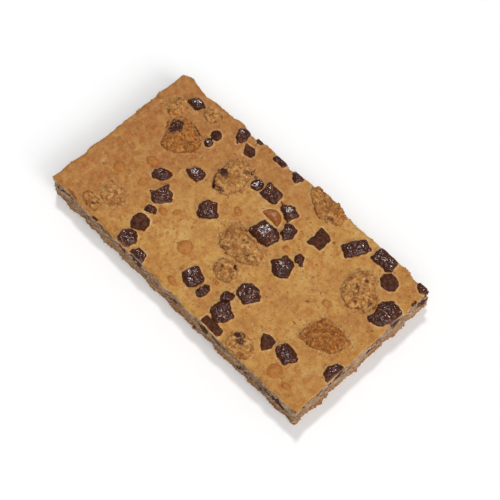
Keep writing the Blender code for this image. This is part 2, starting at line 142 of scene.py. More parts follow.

# Where chocolate melted into the dough or a piece of cookie, and where a crack lies dark, which is painted
# shade
SMEARS_AND_CRACK_SHADE = mark_rows(
    (-38.0, 11.2, 3.2, 5.6, 22, 1.0), (-36.6, 12.0, 2.0, 4.6, 35, 0.9),
    (-37.6, 9.2, 2.6, 1.4, 0, 0.8), (-32.6, 14.9, 4.2, 0.7, -14, 0.8),
    (-34.4, 10.6, 1.6, 0.8, 0, 0.5), (-16.9, 10.7, 3.2, 2.6, 0, 1.0),
    (-15.3, 10.2, 1.6, 2.4, 30, 0.8), (-15.6, 5.8, 3.4, 1.0, -52, 1.0),
    (-17.4, 8.0, 3.4, 0.7, -62, 0.7), (-13.3, 6.2, 2.4, 1.2, 10, 0.8),
    (-11.9, 15.2, 2.2, 1.6, 30, 0.7), (-11.0, 17.2, 1.0, 2.0, 20, 0.5),
    (-9.2, 16.4, 2.0, 0.6, -10, 0.6), (2.2, 15.9, 1.8, 0.6, -20, 0.8),
    (3.5, -0.6, 0.9, 0.8, 0, 1.0), (7.6, -3.4, 1.8, 1.0, 20, 0.6),
    (1.4, -6.0, 3.0, 1.0, 12, 0.6), (1.6, 2.4, 1.2, 0.7, 0, 0.6),
    (8.2, -8.1, 1.6, 1.5, 0, 1.0), (5.2, -10.4, 1.5, 1.0, -30, 0.9),
    (9.6, -11.2, 0.9, 0.9, 0, 0.6), (10.8, 24.8, 1.8, 0.6, -15, 0.7),
    (15.4, 22.2, 2.0, 1.4, 30, 0.6), (36.5, 15.2, 1.3, 1.0, 20, 0.9),
    (36.1, 12.0, 3.0, 0.7, -38, 0.8), (42.0, 10.8, 0.8, 1.8, 10, 0.8),
    (38.7, 8.4, 1.2, 1.0, 0, 0.7), (44.4, -4.4, 1.0, 0.7, 0, 0.7),
    (42.3, -6.0, 0.8, 0.6, 0, 0.7), (39.0, -6.6, 1.2, 0.6, 10, 0.5),
    (23.4, -21.5, 2.2, 2.0, 10, 1.0), (25.5, -22.5, 2.8, 2.0, 20, 0.9),
    (24.7, -20.4, 1.8, 0.6, -20, 0.8), (-34.4, -22.3, 1.4, 1.0, 0, 0.7),
    (-35.0, -23.4, 1.6, 1.0, 20, 0.8), (-34.7, -17.8, 1.0, 0.6, -30, 0.6),
    (-35.2, -20.0, 1.2, 0.5, -15, 0.7), (-37.0, -14.5, 1.6, 0.6, 0, 0.5),
    (-41.6, -25.4, 4.0, 0.9, -4, 0.35), (-31.0, -25.8, 2.2, 0.8, 0, 1.0),
    (29.3, -0.6, 1.4, 1.1, 0, 0.4), (39.9, 4.6, 0.6, 0.6, 0, 0.4),
    (-43.2, -12.4, 1.1, 0.8, 0, 0.4), (-18.6, 5.3, 0.8, 0.7, 0, 0.4),
    (-19.2, 17.4, 0.8, 0.9, 0, 0.4), (21.6, 17.6, 1.2, 1.0, 0, 0.4),
    (49.8, 20.2, 1.0, 2.2, 0, 0.9), (47.8, 5.8, 1.0, 0.5, 40, 0.4),
    (46.0, -10.7, 0.5, 1.4, 0, 0.4), (49.7, -26.2, 1.4, 0.9, 0, 0.8),
    (50.3, 25.2, 1.8, 2.2, 0, 1.0),
)

# Level places on the shiny chunks, which take the light
SHEENS = mark_rows(
    (5.5, 5.8, 4.0, 3.2, 45, 1.0), (-22.5, 3.9, 4.2, 2.2, 72, 1.0),
    (5.8, 15.5, 2.8, 1.8, 80, 1.0), (-39.3, 21.4, 2.4, 1.6, 45, 1.0),
    (16.1, 2.0, 2.2, 1.4, 35, 1.0), (-7.1, 14.3, 2.0, 1.4, 55, 1.0),
    (-6.5, 16.3, 1.8, 1.2, 0, 1.0), (2.9, -20.1, 2.6, 1.2, 126, 0.9),
    (0.6, -18.4, 2.0, 1.2, 154, 0.9), (-23.0, 24.0, 1.6, 1.2, 0, 0.9),
    (8.0, 10.4, 1.6, 1.2, 90, 0.9), (35.3, 23.7, 2.4, 1.4, 20, 0.8),
    (-27.6, -14.6, 1.6, 1.0, 60, 0.8), (15.2, -12.9, 1.8, 1.0, 118, 0.8),
)

# How brown each piece of cookie is baked; the rest are sandy
TOASTED = {
    "cookie_01": 0.10, "cookie_02": 0.36, "cookie_05": 0.14, "cookie_07": 0.12, "cookie_11": 0.46
}


class SideMark(NamedTuple):
    """A dark streak of chocolate in a cut side: its place along it, its height and its size."""

    along: float
    height: float
    length: float
    width: float


SIDE_MARKS = {
    "front": (
        SideMark(-7.0, 6.0, 5.0, 0.9), SideMark(-10.0, 2.6, 3.6, 0.8),
        SideMark(11.0, 1.2, 2.6, 1.2), SideMark(23.5, 5.5, 2.8, 1.0),
        SideMark(-32.0, 3.0, 4.2, 0.9), SideMark(37.0, 3.2, 3.0, 0.8),
        SideMark(-40.0, 6.0, 3.0, 0.8), SideMark(1.0, 4.2, 6.0, 1.0),
        SideMark(14.5, 5.6, 8.0, 1.7), SideMark(31.0, 2.6, 6.5, 1.8),
        SideMark(43.5, 4.8, 9.0, 1.5), SideMark(-23.0, 7.0, 11.0, 1.7),
        SideMark(-13.5, 5.6, 7.0, 1.4), SideMark(-44.5, 6.4, 6.5, 1.2),
    ),
    "end": (
        SideMark(-1.5, 6.3, 5.0, 0.8), SideMark(9.0, 5.6, 2.0, 1.2), SideMark(3.0, 4.2, 4.6, 0.8),
        SideMark(24.0, 4.6, 3.0, 1.4), SideMark(-22.0, 5.2, 2.4, 0.8),
    ),
    "back": (
        SideMark(-28.0, 4.6, 4.0, 1.0), SideMark(24.0, 3.4, 3.2, 1.2),
        SideMark(3.0, 5.0, 2.6, 0.9),
    ),
    "start": (
        SideMark(-12.0, 4.4, 3.4, 1.0), SideMark(8.0, 5.6, 2.6, 1.2),
        SideMark(18.0, 2.8, 3.0, 0.9),
    ),
}


class NodeTree:
    """Short calls for adding nodes to a tree."""

    tree: bpy.types.NodeTree

    def add(self, kind: str, inputs: Inputs | None = None, **settings: object) -> bpy.types.Node:
        """Adds a node.

        Args:
            kind: Blender's name for the type of node.
            inputs: Values or sockets for its inputs, by name or number.
            **settings: The node's own settings.

        Returns:
            The node.
        """
        node = self.tree.nodes.new(kind)
        for key, value in settings.items():
            setattr(node, key, value)
        for key, value in (inputs or {}).items():
            self.feed(node.inputs[key], value)
        return node

    def feed(self, socket: Socket, value: object) -> None:
        """Links a socket into another, or sets it to a plain value."""
        if isinstance(value, bpy.types.NodeSocket):
            self.tree.links.new(value, socket)
        else:
            socket.default_value = value

    def scaled(self, vector: Socket, factor: object) -> Socket:
        """A vector times a factor."""
        node = self.add("ShaderNodeVectorMath", {0: vector, "Scale": factor}, operation="SCALE")
        return node.outputs[0]


class Graph(NodeTree):
    """A material's node tree, with short calls for the nodes that the finishes share.

    Patterns are read from Object coordinates in millimetres, so a size given here is real.
    """

    def __init__(self, name: str) -> None:
        """Starts a material of that name with an untouched surface shader."""
        self.material = bpy.data.materials.new(name)
        self.material.use_nodes = True
        self.tree = self.material.node_tree
        self.shader = self.tree.nodes["Principled BSDF"]
        self.place = self.scaled(self.add("ShaderNodeTexCoord").outputs["Object"], 1 / MM)

    def surface(self, **values: object) -> None:
        """Sets the shader's own sockets, written with _ for each space."""
        for key, value in values.items():
            self.feed(self.shader.inputs[key.replace("_", " ")], value)

    def stretched(self, size: Size, offset: float = 0.0) -> Socket:
        """The place in units of a size, or of one size for each axis, and moved by an offset."""
        sizes = size if isinstance(size, Sequence) else (size, size, size)
        inputs = {
            "Vector": self.place,
            "Scale": tuple(1 / each for each in sizes),
            "Location": (offset, 2 * offset, 3 * offset),
        }
        return self.add("ShaderNodeMapping", inputs).outputs[0]

    def noise(
        self, size: Size, detail: float = 2.0, rough: float = 0.5, offset: float = 0.0
    ) -> Socket:
        """Soft noise, 0 to 1.

        Args:
            size: The size of its patches in millimetres, or one size for each axis.
            detail: How many finer layers lie over it.
            rough: How strong each finer layer is.
            offset: Moves the pattern, so that two of one size differ.

        Returns:
            The noise as a socket.
        """
        place = self.stretched(size, offset)
        inputs = {"Vector": place, "Scale": 1.0, "Detail": detail, "Roughness": rough}
        return self.add("ShaderNodeTexNoise", inputs).outputs[0]

    def cells(self, size: Size, offset: float = 0.0) -> tuple[Socket, Socket]:
        """Scattered cells: the distance to each one's middle in cell sizes, and its colour."""
        inputs = {"Vector": self.stretched(size, offset), "Scale": 1.0}
        node = self.add("ShaderNodeTexVoronoi", inputs)
        return node.outputs["Distance"], node.outputs["Color"]

    def channel(self, colour: Socket, index: int) -> Socket:
        """One channel of a colour."""
        return self.add("ShaderNodeSeparateColor", {0: colour}).outputs[index]

    def axis(self, index: int) -> Socket:
        """X, Y or Z of the place, in millimetres."""
        return self.add("ShaderNodeSeparateXYZ", {0: self.place}).outputs[index]

    def attribute(self, name: str) -> Socket:
        """A value that the mesh carries."""
        return self.add("ShaderNodeAttribute", attribute_name=name).outputs["Fac"]

    def math(self, operation: str, first: object, second: object = 0.0) -> Socket:
        """One sum of two values, kept as it comes."""
        return self.add("ShaderNodeMath", {0: first, 1: second}, operation=operation).outputs[0]

    def times(self, first: object, second: object) -> Socket:
        """A product."""
        return self.math("MULTIPLY", first, second)

    def step(self, value: Socket, low: float, high: float) -> Socket:
        """A soft step from 0 at low to 1 at high, where low may be the larger."""
        inputs = {"Value": value, "From Min": low, "From Max": high}
        if low > high:
            inputs = {"Value": value, "From Min": high, "From Max": low, "To Min": 1.0, "To Max": 0.0}
        return self.add("ShaderNodeMapRange", inputs, interpolation_type="SMOOTHSTEP").outputs[0]

    def span(self, value: Socket, low: float, high: float) -> Socket:
        """Spreads a value from 0 to 1 evenly over low to high."""
        return self.add("ShaderNodeMapRange", {"Value": value, "To Min": low, "To Max": high}).outputs[0]

    def blend(self, factor: object, first: object, second: object, mode: str = "MIX") -> Socket:
        """Lays the second colour over the first one."""
        inputs = {0: factor, 6: first, 7: second}
        node = self.add("ShaderNodeMix", inputs, data_type="RGBA", blend_type=mode)
        return node.outputs[2]

    def ramp(self, value: Socket, stops: Iterable[tuple[float, Colour]]) -> Socket:
        """Colours that follow a value, from the lowest stop to the highest."""
        node = self.add("ShaderNodeValToRGB", {0: value})
        elements = node.color_ramp.elements
        for number, (place, colour) in enumerate(stops):
            element = elements[number] if number < 2 else elements.new(place)
            element.position = place
            element.color = colour
        return node.outputs[0]

    def spots(
        self, cell: float, smallest: float, largest: float, share: float, offset: float = 0.0
    ) -> Socket:
        """Scattered round spots, 1 inside and 0 outside.

        Args:
            cell: The room that each spot has, in millimetres.
            smallest: The smallest spot's radius in millimetres.
            largest: The largest spot's radius in millimetres.
            share: The share of the rooms that hold a spot.
            offset: Moves the pattern.

        Returns:
            The mask as a socket.
        """
        distance, colour = self.cells(cell, offset)
        ragged = self.span(self.noise(0.5, 1.0, offset=offset), -0.12, 0.12)
        reach = self.span(self.channel(colour, 0), smallest / cell, largest / cell)
        inside = self.math("SUBTRACT", self.math("ADD", reach, ragged), distance)
        present = self.math("LESS_THAN", self.channel(colour, 1), share)
        return self.times(self.step(inside, 0.0, 0.07), present)

    def mixed(self, factor: Socket, first: object, second: object) -> Socket:
        """A value between two others: the first at a factor of 0 and the second at 1."""
        return self.add("ShaderNodeMix", {0: factor, 2: first, 3: second}).outputs[0]

    def bump(self, height: Socket, depth: float, below: Socket | None = None) -> Socket:
        """Relief too fine for the mesh, at most depth millimetres deep."""
        inputs: dict[int | str, object] = {"Height": height, "Distance": depth * MM}
        if below is not None:
            inputs["Normal"] = below
        return self.add("ShaderNodeBump", inputs).outputs[0]


@dataclass(frozen=True)
class DoughFinish:
    """Baked dough: a golden skin with freckles, and grey-brown fibres where it was cut."""

    deep: Colour = tone(172, 117, 50)
    golden: Colour = tone(184, 132, 59)
    pale: Colour = tone(190, 145, 75)
    browned: Colour = tone(158, 99, 38)
    freckle: Colour = tone(154, 86, 30)
    blotch: Colour = tone(166, 97, 34)
    cream_fleck_and_glint: Colour = tone(224, 192, 140)
    crisp: Colour = tone(168, 102, 40)
    collar: Colour = tone(212, 174, 120)
    margin: Colour = tone(160, 104, 48)
    cut_smear: Colour = tone(74, 52, 45)
    cut_dark: Colour = tone(102, 76, 58)
    cut_middle: Colour = tone(157, 127, 101)
    cut_light: Colour = tone(187, 161, 133)
    lip: Colour = tone(212, 186, 150)
    foot: Colour = tone(158, 112, 68)
    # Melted chocolate, and the painted shade of cracks
    smear_and_crack_shade: Colour = tone(58, 31, 20)
    stain: Colour = tone(122, 68, 28)
    # Cell, smallest and largest radius in millimetres, share, strength and offset
    blotches: tuple[tuple[float, ...], ...] = (
        (3.6, 0.50, 1.20, 0.45, 0.55, 5.0),
        (2.2, 0.25, 0.62, 0.50, 0.90, 9.0),
        (1.4, 0.14, 0.34, 0.30, 0.90, 17.0),
    )

    def build(self) -> bpy.types.Material:
        """Makes the material."""
        graph = Graph("baked_dough")
        side = graph.attribute("side")
        colour = graph.blend(side, self.skin(graph), self.cut(graph))
        # Smeared chocolate, and painted shade where a crack lies dark; on the sides, streaks of chocolate
        smear_and_crack_shade = graph.attribute("smear_and_crack_shade")
        stain = graph.blend(side, self.stain, self.cut_dark)
        colour = graph.blend(graph.step(smear_and_crack_shade, 0.0, 0.45), colour, stain)
        melted = graph.blend(side, self.smear_and_crack_shade, self.cut_smear)
        colour = graph.blend(graph.step(smear_and_crack_shade, 0.35, 0.8), colour, melted)
        skin_gloss = graph.span(graph.noise(2.2, 3.0), 0.24, 0.62)
        gloss = graph.mixed(side, skin_gloss, 0.9)
        shine = graph.mixed(side, 0.24, 0.08)
        relief = graph.bump(graph.noise(0.9, 4.0, 0.6), 0.22)
        for cell, smallest, largest, share, _, offset in self.blotches[1:]:
            relief = graph.bump(graph.spots(cell, smallest, largest, share, offset), 0.12, relief)
        graph.surface(
            Base_Color=colour,
            Roughness=gloss,
            Normal=graph.bump(graph.noise(0.2, 2.0), 0.02, relief),
            Specular_IOR_Level=shine,
            Subsurface_Weight=0.08,
            Subsurface_Radius=(1.0, 0.5, 0.22),
            Subsurface_Scale=0.0012,
        )
        return graph.material

    def skin(self, graph: Graph) -> Socket:
        """The colour of the baked top."""
        base = graph.ramp(
            graph.noise(7.0, 3.0, 0.6), ((0.32, self.deep), (0.50, self.golden), (0.68, self.pale))
        )
        drift = graph.span(graph.noise(12.0), -22.0, 22.0)
        along = graph.math("ADD", graph.axis(0), drift)
        corner = graph.math("ADD", graph.math("SUBTRACT", graph.axis(1), graph.axis(0)), drift)
        baked = graph.math("MAXIMUM", graph.step(along, -10.0, -56.0), graph.step(corner, 2.0, 45.0))
        baked = graph.math("MAXIMUM", baked, graph.times(graph.step(along, 26.0, 60.0), 0.5))
        uneven = graph.span(graph.step(graph.noise(2.2, 4.0, 0.62, offset=2.0), 0.38, 0.62), 0.45, 1.0)
        base = graph.blend(graph.times(baked, uneven), base, self.browned)
        patches = graph.step(graph.noise(2.4, 5.0, 0.68, offset=3.0), 0.53, 0.63)
        base = graph.blend(graph.times(patches, 0.55), base, self.blotch)
        crowd = graph.span(graph.step(graph.noise(9.0, 2.0, offset=6.0), 0.42, 0.60), 0.35, 1.0)
        for cell, smallest, largest, share, strength, offset in self.blotches:
            spots = graph.spots(cell, smallest, largest, share, offset)
            base = graph.blend(graph.times(graph.times(spots, strength), crowd), base, self.blotch)
        tiny = graph.spots(2.6, 0.18, 0.40, 0.12, offset=11.0)
        base = graph.blend(tiny, base, self.freckle)
        # Pale spots: cream flecks in the dough, and painted highlights that stand for tiny glints on its
        # skin
        light = graph.spots(1.2, 0.08, 0.20, 0.36, offset=14.0)
        base = graph.blend(graph.times(light, 0.6), base, self.cream_fleck_and_glint)
        crumbly = graph.step(graph.noise(1.3, 3.0, offset=13.0), 0.44, 0.58)
        base = graph.blend(graph.times(graph.attribute("margin"), crumbly), base, self.margin)
        halo = graph.times(graph.attribute("collar"), graph.span(graph.noise(1.6), 0.1, 1.0))
        base = graph.blend(halo, base, self.collar)
        swell = graph.attribute("crisp")
        ring = graph.times(graph.step(swell, 0.0, 0.12), graph.step(swell, 0.32, 0.14))
        base = graph.blend(graph.times(graph.step(swell, 0.0, 0.3), 0.68), base, self.crisp)
        uneven = graph.span(graph.noise(1.4, 2.0, offset=12.0), 0.1, 1.0)
        base = graph.blend(graph.times(ring, uneven), base, self.freckle)
        mottle = graph.step(graph.noise(1.8, 4.0, 0.62, offset=8.0), 0.36, 0.64)
        shades = ((0.0, (0.90, 0.79, 0.66, 1.0)), (0.5, (1.0, 1.0, 1.0, 1.0)), (1.0, (1.04, 1.1, 1.2, 1.0)))
        base = graph.blend(1.0, base, graph.ramp(mottle, shades), "MULTIPLY")
        grains = ((0.25, (0.93, 0.78, 0.50, 1.0)), (0.75, (1.06, 1.20, 1.50, 1.0)))
        grain = graph.ramp(graph.noise(0.5, 3.0, 0.6), grains)
        return graph.blend(1.0, base, grain, "MULTIPLY")

    def cut(self, graph: Graph) -> Socket:
        """The colour of the cut sides: level fibres between a pale lip and a browned foot."""
        fibres = graph.noise((6.0, 6.0, 0.45), 4.0, 0.65)
        base = graph.ramp(
            fibres, ((0.36, self.cut_dark), (0.5, self.cut_middle), (0.64, self.cut_light))
        )
        height = graph.math("ADD", graph.axis(2), graph.span(graph.noise(1.6, 3.0), -0.9, 0.9))
        lip = graph.step(height, TOP - 0.7, TOP - 0.2)
        base = graph.blend(graph.times(lip, 0.85), base, self.lip)
        foot = graph.step(height, 4.4, 1.6)
        base = graph.blend(graph.times(foot, 0.6), base, self.foot)
        # Painted shade: small dark spots stand for the shade inside the pores
        pores = graph.spots(1.3, 0.08, 0.26, 0.35, offset=21.0)
        return graph.blend(graph.times(pores, 0.5), base, self.cut_dark)


class Chocolate(Enum):
    """How a chunk's surface looks."""

    GLOSSY = "glossy"
    DULL = "dull"


@dataclass(frozen=True)
class ChocolateFinish:
    """Dark chocolate: crinkled and shiny, or dry and brown."""

    state: Chocolate
    dark: Colour = tone(36, 15, 9)
    warm: Colour = tone(82, 35, 16)
    rim: Colour = tone(140, 74, 27)
    dry: Colour = tone(72, 38, 23)
    dry_light: Colour = tone(108, 64, 40)
    cut: Colour = tone(58, 38, 31)
    cut_light: Colour = tone(98, 70, 56)

    def build(self) -> bpy.types.Material:
        """Makes the material."""
        graph = Graph(f"{self.state.value}_chocolate")
        dull = self.state is Chocolate.DULL
        stops = ((0.35, self.dark), (0.65, self.warm))
        if dull:
            stops = ((0.32, self.dark), (0.5, self.dry), (0.68, self.dry_light))
        base = graph.ramp(graph.noise(0.9, 5.0, 0.7), stops)
        height = graph.math("ADD", graph.axis(2), graph.span(graph.noise(0.6, 3.0), -0.4, 0.4))
        edge = graph.times(graph.step(height, TOP + 0.45, TOP + 0.1), 0.85)
        base = graph.blend(edge, base, self.rim)
        low = graph.times(graph.step(graph.attribute("hollow"), 0.4, 1.3), graph.noise(1.5))
        base = graph.blend(low, base, self.rim)
        patches = graph.step(graph.noise(1.3, 4.0, 0.6, offset=5.0), 0.57, 0.68)
        base = graph.blend(graph.times(patches, 0.2 if dull else 0.45), base, self.rim)
        cut = graph.step(graph.axis(2), TOP - 0.3, TOP - 0.7)
        sawn = graph.ramp(graph.noise((2.0, 2.0, 0.4), 4.0, 0.7), ((0.4, self.cut), (0.66, self.cut_light)))
        base = graph.blend(cut, base, sawn)
        gloss = graph.span(graph.step(graph.noise(0.8, 3.0, 0.6), 0.38, 0.62), 0.05, 0.32)
        graph.surface(
            Base_Color=base,
            Roughness=graph.mixed(cut, 0.7 if dull else gloss, 0.85),
            Normal=graph.bump(graph.noise(0.45, 3.0, 0.6), 0.24 if dull else 0.045),
            Specular_IOR_Level=graph.mixed(cut, 0.16 if dull else 0.38, 0.04),
        )
        return graph.material


@dataclass(frozen=True)
class CookieFinish:
    """Crumbled cookie: sandy grains with painted shade in the hollows, smeared here and there."""

    shade: Colour = tone(122, 76, 36)
    sand: Colour = tone(168, 117, 62)
    light: Colour = tone(206, 158, 98)
    toast: Colour = tone(232, 206, 172)
    # Painted shade for the hollows, and the colour of the dark specks
    hollow: Colour = tone(104, 58, 24)
    # Smeared chocolate, and the painted shade of cracks
    smear_and_crack_shade: Colour = tone(58, 30, 24)

    def build(self) -> bpy.types.Material:
        """Makes the material."""
        graph = Graph("crumbled_cookie")
        _, colour = graph.cells(0.34)
        _, clump = graph.cells(0.95, 3.0)
        fine = graph.times(graph.channel(colour, 0), 0.62)
        mixed = graph.math("ADD", fine, graph.times(graph.channel(clump, 0), 0.98))
        grain = graph.math("ADD", graph.times(mixed, 0.28), graph.times(graph.noise(0.9, 3.0), 0.55))
        base = graph.ramp(grain, ((0.28, self.shade), (0.5, self.sand), (0.72, self.light)))
        baked = graph.math("ADD", graph.attribute("toast"), graph.noise(3.0, 3.0, offset=4.0))
        base = graph.blend(graph.step(baked, 0.45, 0.85), base, self.toast, "MULTIPLY")
        # Painted shade: the deeper a hollow, the darker its colour
        low = graph.step(graph.attribute("hollow"), 0.35, 1.2)
        base = graph.blend(graph.times(low, 0.28), base, self.hollow)
        specks = graph.spots(1.2, 0.08, 0.22, 0.22, offset=7.0)
        base = graph.blend(graph.times(specks, 0.6), base, self.hollow)
        # Smeared chocolate, and painted shade where a crack lies dark
        smear_and_crack_shade = graph.attribute("smear_and_crack_shade")
        base = graph.blend(smear_and_crack_shade, base, self.smear_and_crack_shade)
        gloss = graph.mixed(smear_and_crack_shade, 0.82, 0.5)
        relief = graph.bump(graph.noise(0.32, 3.0, 0.65), 0.06)
        graph.surface(
            Base_Color=base,
            Roughness=gloss,
            Normal=relief,
            Specular_IOR_Level=graph.mixed(smear_and_crack_shade, 0.2, 0.12),
            Subsurface_Weight=0.06,
            Subsurface_Radius=(1.0, 0.5, 0.22),
            Subsurface_Scale=0.001,
        )
        return graph.material


@dataclass(frozen=True)
class CaramelFinish:
    """Caramel: smooth, orange-brown and a little see-through."""

    amber: Colour = tone(160, 92, 28)
    deep: Colour = tone(124, 66, 18)

    def build(self) -> bpy.types.Material:
        """Makes the material."""
        graph = Graph("caramel")
        base = graph.blend(graph.noise(1.6, 3.0), self.amber, self.deep)
        graph.surface(
            Base_Color=base,
            Roughness=0.36,
            Specular_IOR_Level=0.35,
            Normal=graph.bump(graph.noise(0.5, 3.0), 0.04),
            Subsurface_Weight=0.25,
            Subsurface_Radius=(1.0, 0.45, 0.15),
            Subsurface_Scale=0.0015,
        )
        return graph.material


@dataclass(frozen=True)
class CrumbFinish:
    """Loose crumbs of one kind, each patch of them a little lighter or darker."""

    name: str
    dark: Colour
    light: Colour
    roughness: float = 0.7

    def build(self) -> bpy.types.Material:
        """Makes the material."""
        graph = Graph(self.name)
        base = graph.ramp(graph.noise(0.8, 2.0), ((0.35, self.dark), (0.65, self.light)))
        graph.surface(
            Base_Color=base,
            Roughness=self.roughness,
            Normal=graph.bump(graph.noise(0.15, 2.0), 0.03),
        )
        return graph.material


@dataclass(frozen=True)
class FloorFinish:
    """A plain pale table top."""

    colour: Colour = (0.94, 0.94, 0.94, 1.0)

    def build(self) -> bpy.types.Material:
        """Makes the material."""
        graph = Graph("pale_floor")
        graph.surface(Base_Color=self.colour, Roughness=0.9, Specular_IOR_Level=0.1)
        return graph.material


class Nick(NamedTuple):
    """A place where a top rim broke inwards, or stands out where its depth is negative."""

    along: float
    reach: float
    depth: float


NICKS = {
    "front": (),
    "back": (
        Nick(-46.0, 3.5, -0.3), Nick(-39.2, 2.8, 1.1), Nick(-24.0, 2.2, -0.3), Nick(-19.5, 2.0, 0.6),
        Nick(-5.0, 2.6, 0.7), Nick(3.0, 2.6, -0.5), Nick(21.0, 3.0, -0.3), Nick(27.4, 2.0, 0.4),
        Nick(40.0, 3.0, -0.5), Nick(44.6, 1.8, 0.4),
    ),
    "start": (Nick(20.0, 15.0, -0.55),),
    "end": (Nick(24.0, 6.0, -0.3),),
}


@dataclass(frozen=True)
class SlabForm:
    """The slab's shape in millimetres, the same as that of its solid."""

    length: float = 100.0
    width: float = 52.0
    height: float = TOP
    corner: float = 0.9
    side_stray: float = 0.7
    side_long: float = 5.0
    side_high: float = 2.6
    flare: float = 0.35
    top_stray: float = 0.30
    top_grain: float = 9.0
    nick_at_foot: float = 0.3
    rim_reach: float = 2.6

    def rounded(self, x: float, y: float) -> tuple[float, float]:
        """Draws the square plan in at its four upright corners."""
        over_x = abs(x) - (self.length / 2 - self.corner)
        over_y = abs(y) - (self.width / 2 - self.corner)
        if over_x <= 0 or over_y <= 0:
            return x, y
        scale = max(over_x, over_y) / math.hypot(over_x, over_y)
        x = math.copysign(self.length / 2 - self.corner + over_x * scale, x)
        y = math.copysign(self.width / 2 - self.corner + over_y * scale, y)
        return x, y

    def nicked(self, side: str, along: float, share: float) -> float:
        """How far a side lies inside its straight line at a share of the slab's height."""
        nicks = NICKS[side]
        depth = sum(n.depth * math.exp(-(((along - n.along) / n.reach) ** 2)) for n in nicks)
        return depth * (self.nick_at_foot + (1 - self.nick_at_foot) * share)

    def crags(self, along: float, side: float, z: float) -> float:
        """The fine relief of a cut side: level fibres, crags and a lip at the top.

        Args:
            along: The place along the side.
            side: A number that differs for each side.
            z: The height.

        Returns:
            How far the surface stands out there.
        """
        fibres = 0.30 * wave(along / 4.2, side, z / 0.55) + 0.18 * wave(along / 1.6, side + 5, z / 0.4)
        lumps = 0.34 * wave(along / 1.3, side + 9, z / 1.1) + 0.16 * wave(along / 0.6, side + 13, z / 0.6)
        lip = 0.16 * smooth(self.height - 1.2, self.height - 0.5, z)
        ragged = 0.5 * max(0.0, wave(along / 0.9, side + 17, z / 0.9)) * smooth(1.8, 0.4, z)
        calm = 1 - 0.45 * smooth(self.height - 0.8, self.height - 0.1, z)
        return (fibres + lumps) * calm + lip + ragged

    def side_push(self, along: float, side: float, z: float) -> float:
        """How far a side stands out from the straight plan at one place."""
        share = z / self.height
        if abs(abs(side) - self.width / 2) < 1e-6:
            stray = wave(along / self.side_long, side, z / self.side_high)
            name = "back" if side > 0 else "front"
        else:
            stray = wave(side, along / self.side_long, z / self.side_high)
            name = "end" if side > 0 else "start"
        push = self.flare * (1 - share) ** 3 + self.side_stray * stray
        return push - self.nicked(name, along, share) + self.crags(along, side, z)

    def moved(self, across: float, along: float, z: float, size: float) -> float:
        """How far a point of the skin moves with the side that it is near across one axis."""
        near = max(0.0, 1 - (size / 2 - abs(across)) / self.rim_reach) ** 2
        if near <= 0:
            return 0.0
        side = math.copysign(size / 2, across)
        return math.copysign(1, across) * near * self.side_push(along, side, z)

    def top(self, x: float, y: float) -> float:
        """The height of the baked skin, with its swells, dimples and puffed grains."""
        z = self.height + self.top_stray * wave(x / self.top_grain, y / self.top_grain, self.height)
        z += 0.08 * wave(x / 3.1, y / 3.1, 3.0) + 0.07 * wave(x / 1.3, y / 1.3, 6.0)
        nearest = noise.voronoi(Vector((x / 2.1, y / 2.1, 0.5)))[0][0]
        z += 0.10 * smooth(0.26, 0.02, nearest) * wave(x / 4.0, y / 4.0, 21.0) / 0.3
        for grain in CRISPS:
            radius = grain.radius(x, y)
            if radius < 1.3:
                dome = max(0.0, 1 - radius * radius) ** 0.7
                z += grain.strength * dome - 0.07 * smooth(1.3, 1.05, radius) * smooth(0.8, 1.05, radius)
        edge = min(self.length / 2 - abs(x), self.width / 2 - abs(y))
        if edge < 0.7:
            z -= 0.36 * (1 - edge / 0.7) ** 2
        return z


def smear_and_crack_shade_at(x: float, y: float) -> float:
    """How strongly a place on the top is darkened, 0 to 1: by chocolate smeared over it, and by painted
    shade where a crack lies.
    """
    strength = 0.0
    for mark in SMEARS_AND_CRACK_SHADE:
        if abs(x - mark.x) + abs(y - mark.y) < mark.length + mark.width:
            ragged = 0.5 * wave(x / 0.9, y / 0.9, 31.0) + 0.12 * wave(x / 0.35, y / 0.35, 37.0)
            radius = mark.radius(x, y) + ragged
            strength = max(strength, mark.strength * smooth(1.15, 0.75, radius))
    return strength


def side_mark_at(x: float, y: float, z: float, form: SlabForm) -> float:
    """How strongly chocolate shows at a place on a cut side, 0 to 1."""
    gaps = {
        "front": form.width / 2 + y,
        "back": form.width / 2 - y,
        "start": form.length / 2 + x,
        "end": form.length / 2 - x,
    }
    side = min(gaps, key=gaps.__getitem__)
    along = x if side in ("front", "back") else y
    strength = 0.0
    for mark in SIDE_MARKS[side]:
        if abs(along - mark.along) < mark.length:
            across = 2 * (z - mark.height) / mark.width
            radius = math.hypot(2 * (along - mark.along) / mark.length, across)
            radius += 1.1 * wave(along / 0.9, z / 0.5, 41.0)
            strength = max(strength, smooth(1.2, 0.7, radius))
    return strength


class Inclusions:
    """What is set in the dough, as one surface that says how far a place is from it."""

    def __init__(self, nodes: Iterable[bpy.types.Object]) -> None:
        """Reads the solids' triangles, in millimetres."""
        points: list[Vector] = []
        faces: list[tuple[int, ...]] = []
        for node in nodes:
            start = len(points)
            points += [vertex.co / MM for vertex in node.data.vertices]
            faces += [tuple(start + v for v in face.vertices) for face in node.data.polygons]
        self.tree = BVHTree.FromPolygons(points, faces)

    def distance(self, x: float, y: float, z: float, most: float = 6.0) -> float:
        """How far a place is from the nearest piece: below 0 inside it, and most where far off."""
        place = Vector((x, y, z))
        hit, _, _, gap = self.tree.find_nearest(place, most)
        if hit is None:
            return most
        _, roof, _, _ = self.tree.ray_cast(place, Vector((0, 0, 1)))
        return -gap if roof is not None and roof.z > 0 else gap


def store(mesh: bpy.types.Mesh, name: str, values: Sequence[float]) -> None:
    """Writes one value for each of a mesh's points, for a material or a node tree to read."""
    attribute = mesh.attributes.new(name, "FLOAT", "POINT")
    attribute.data.foreach_set("value", np.asarray(values, np.float32))


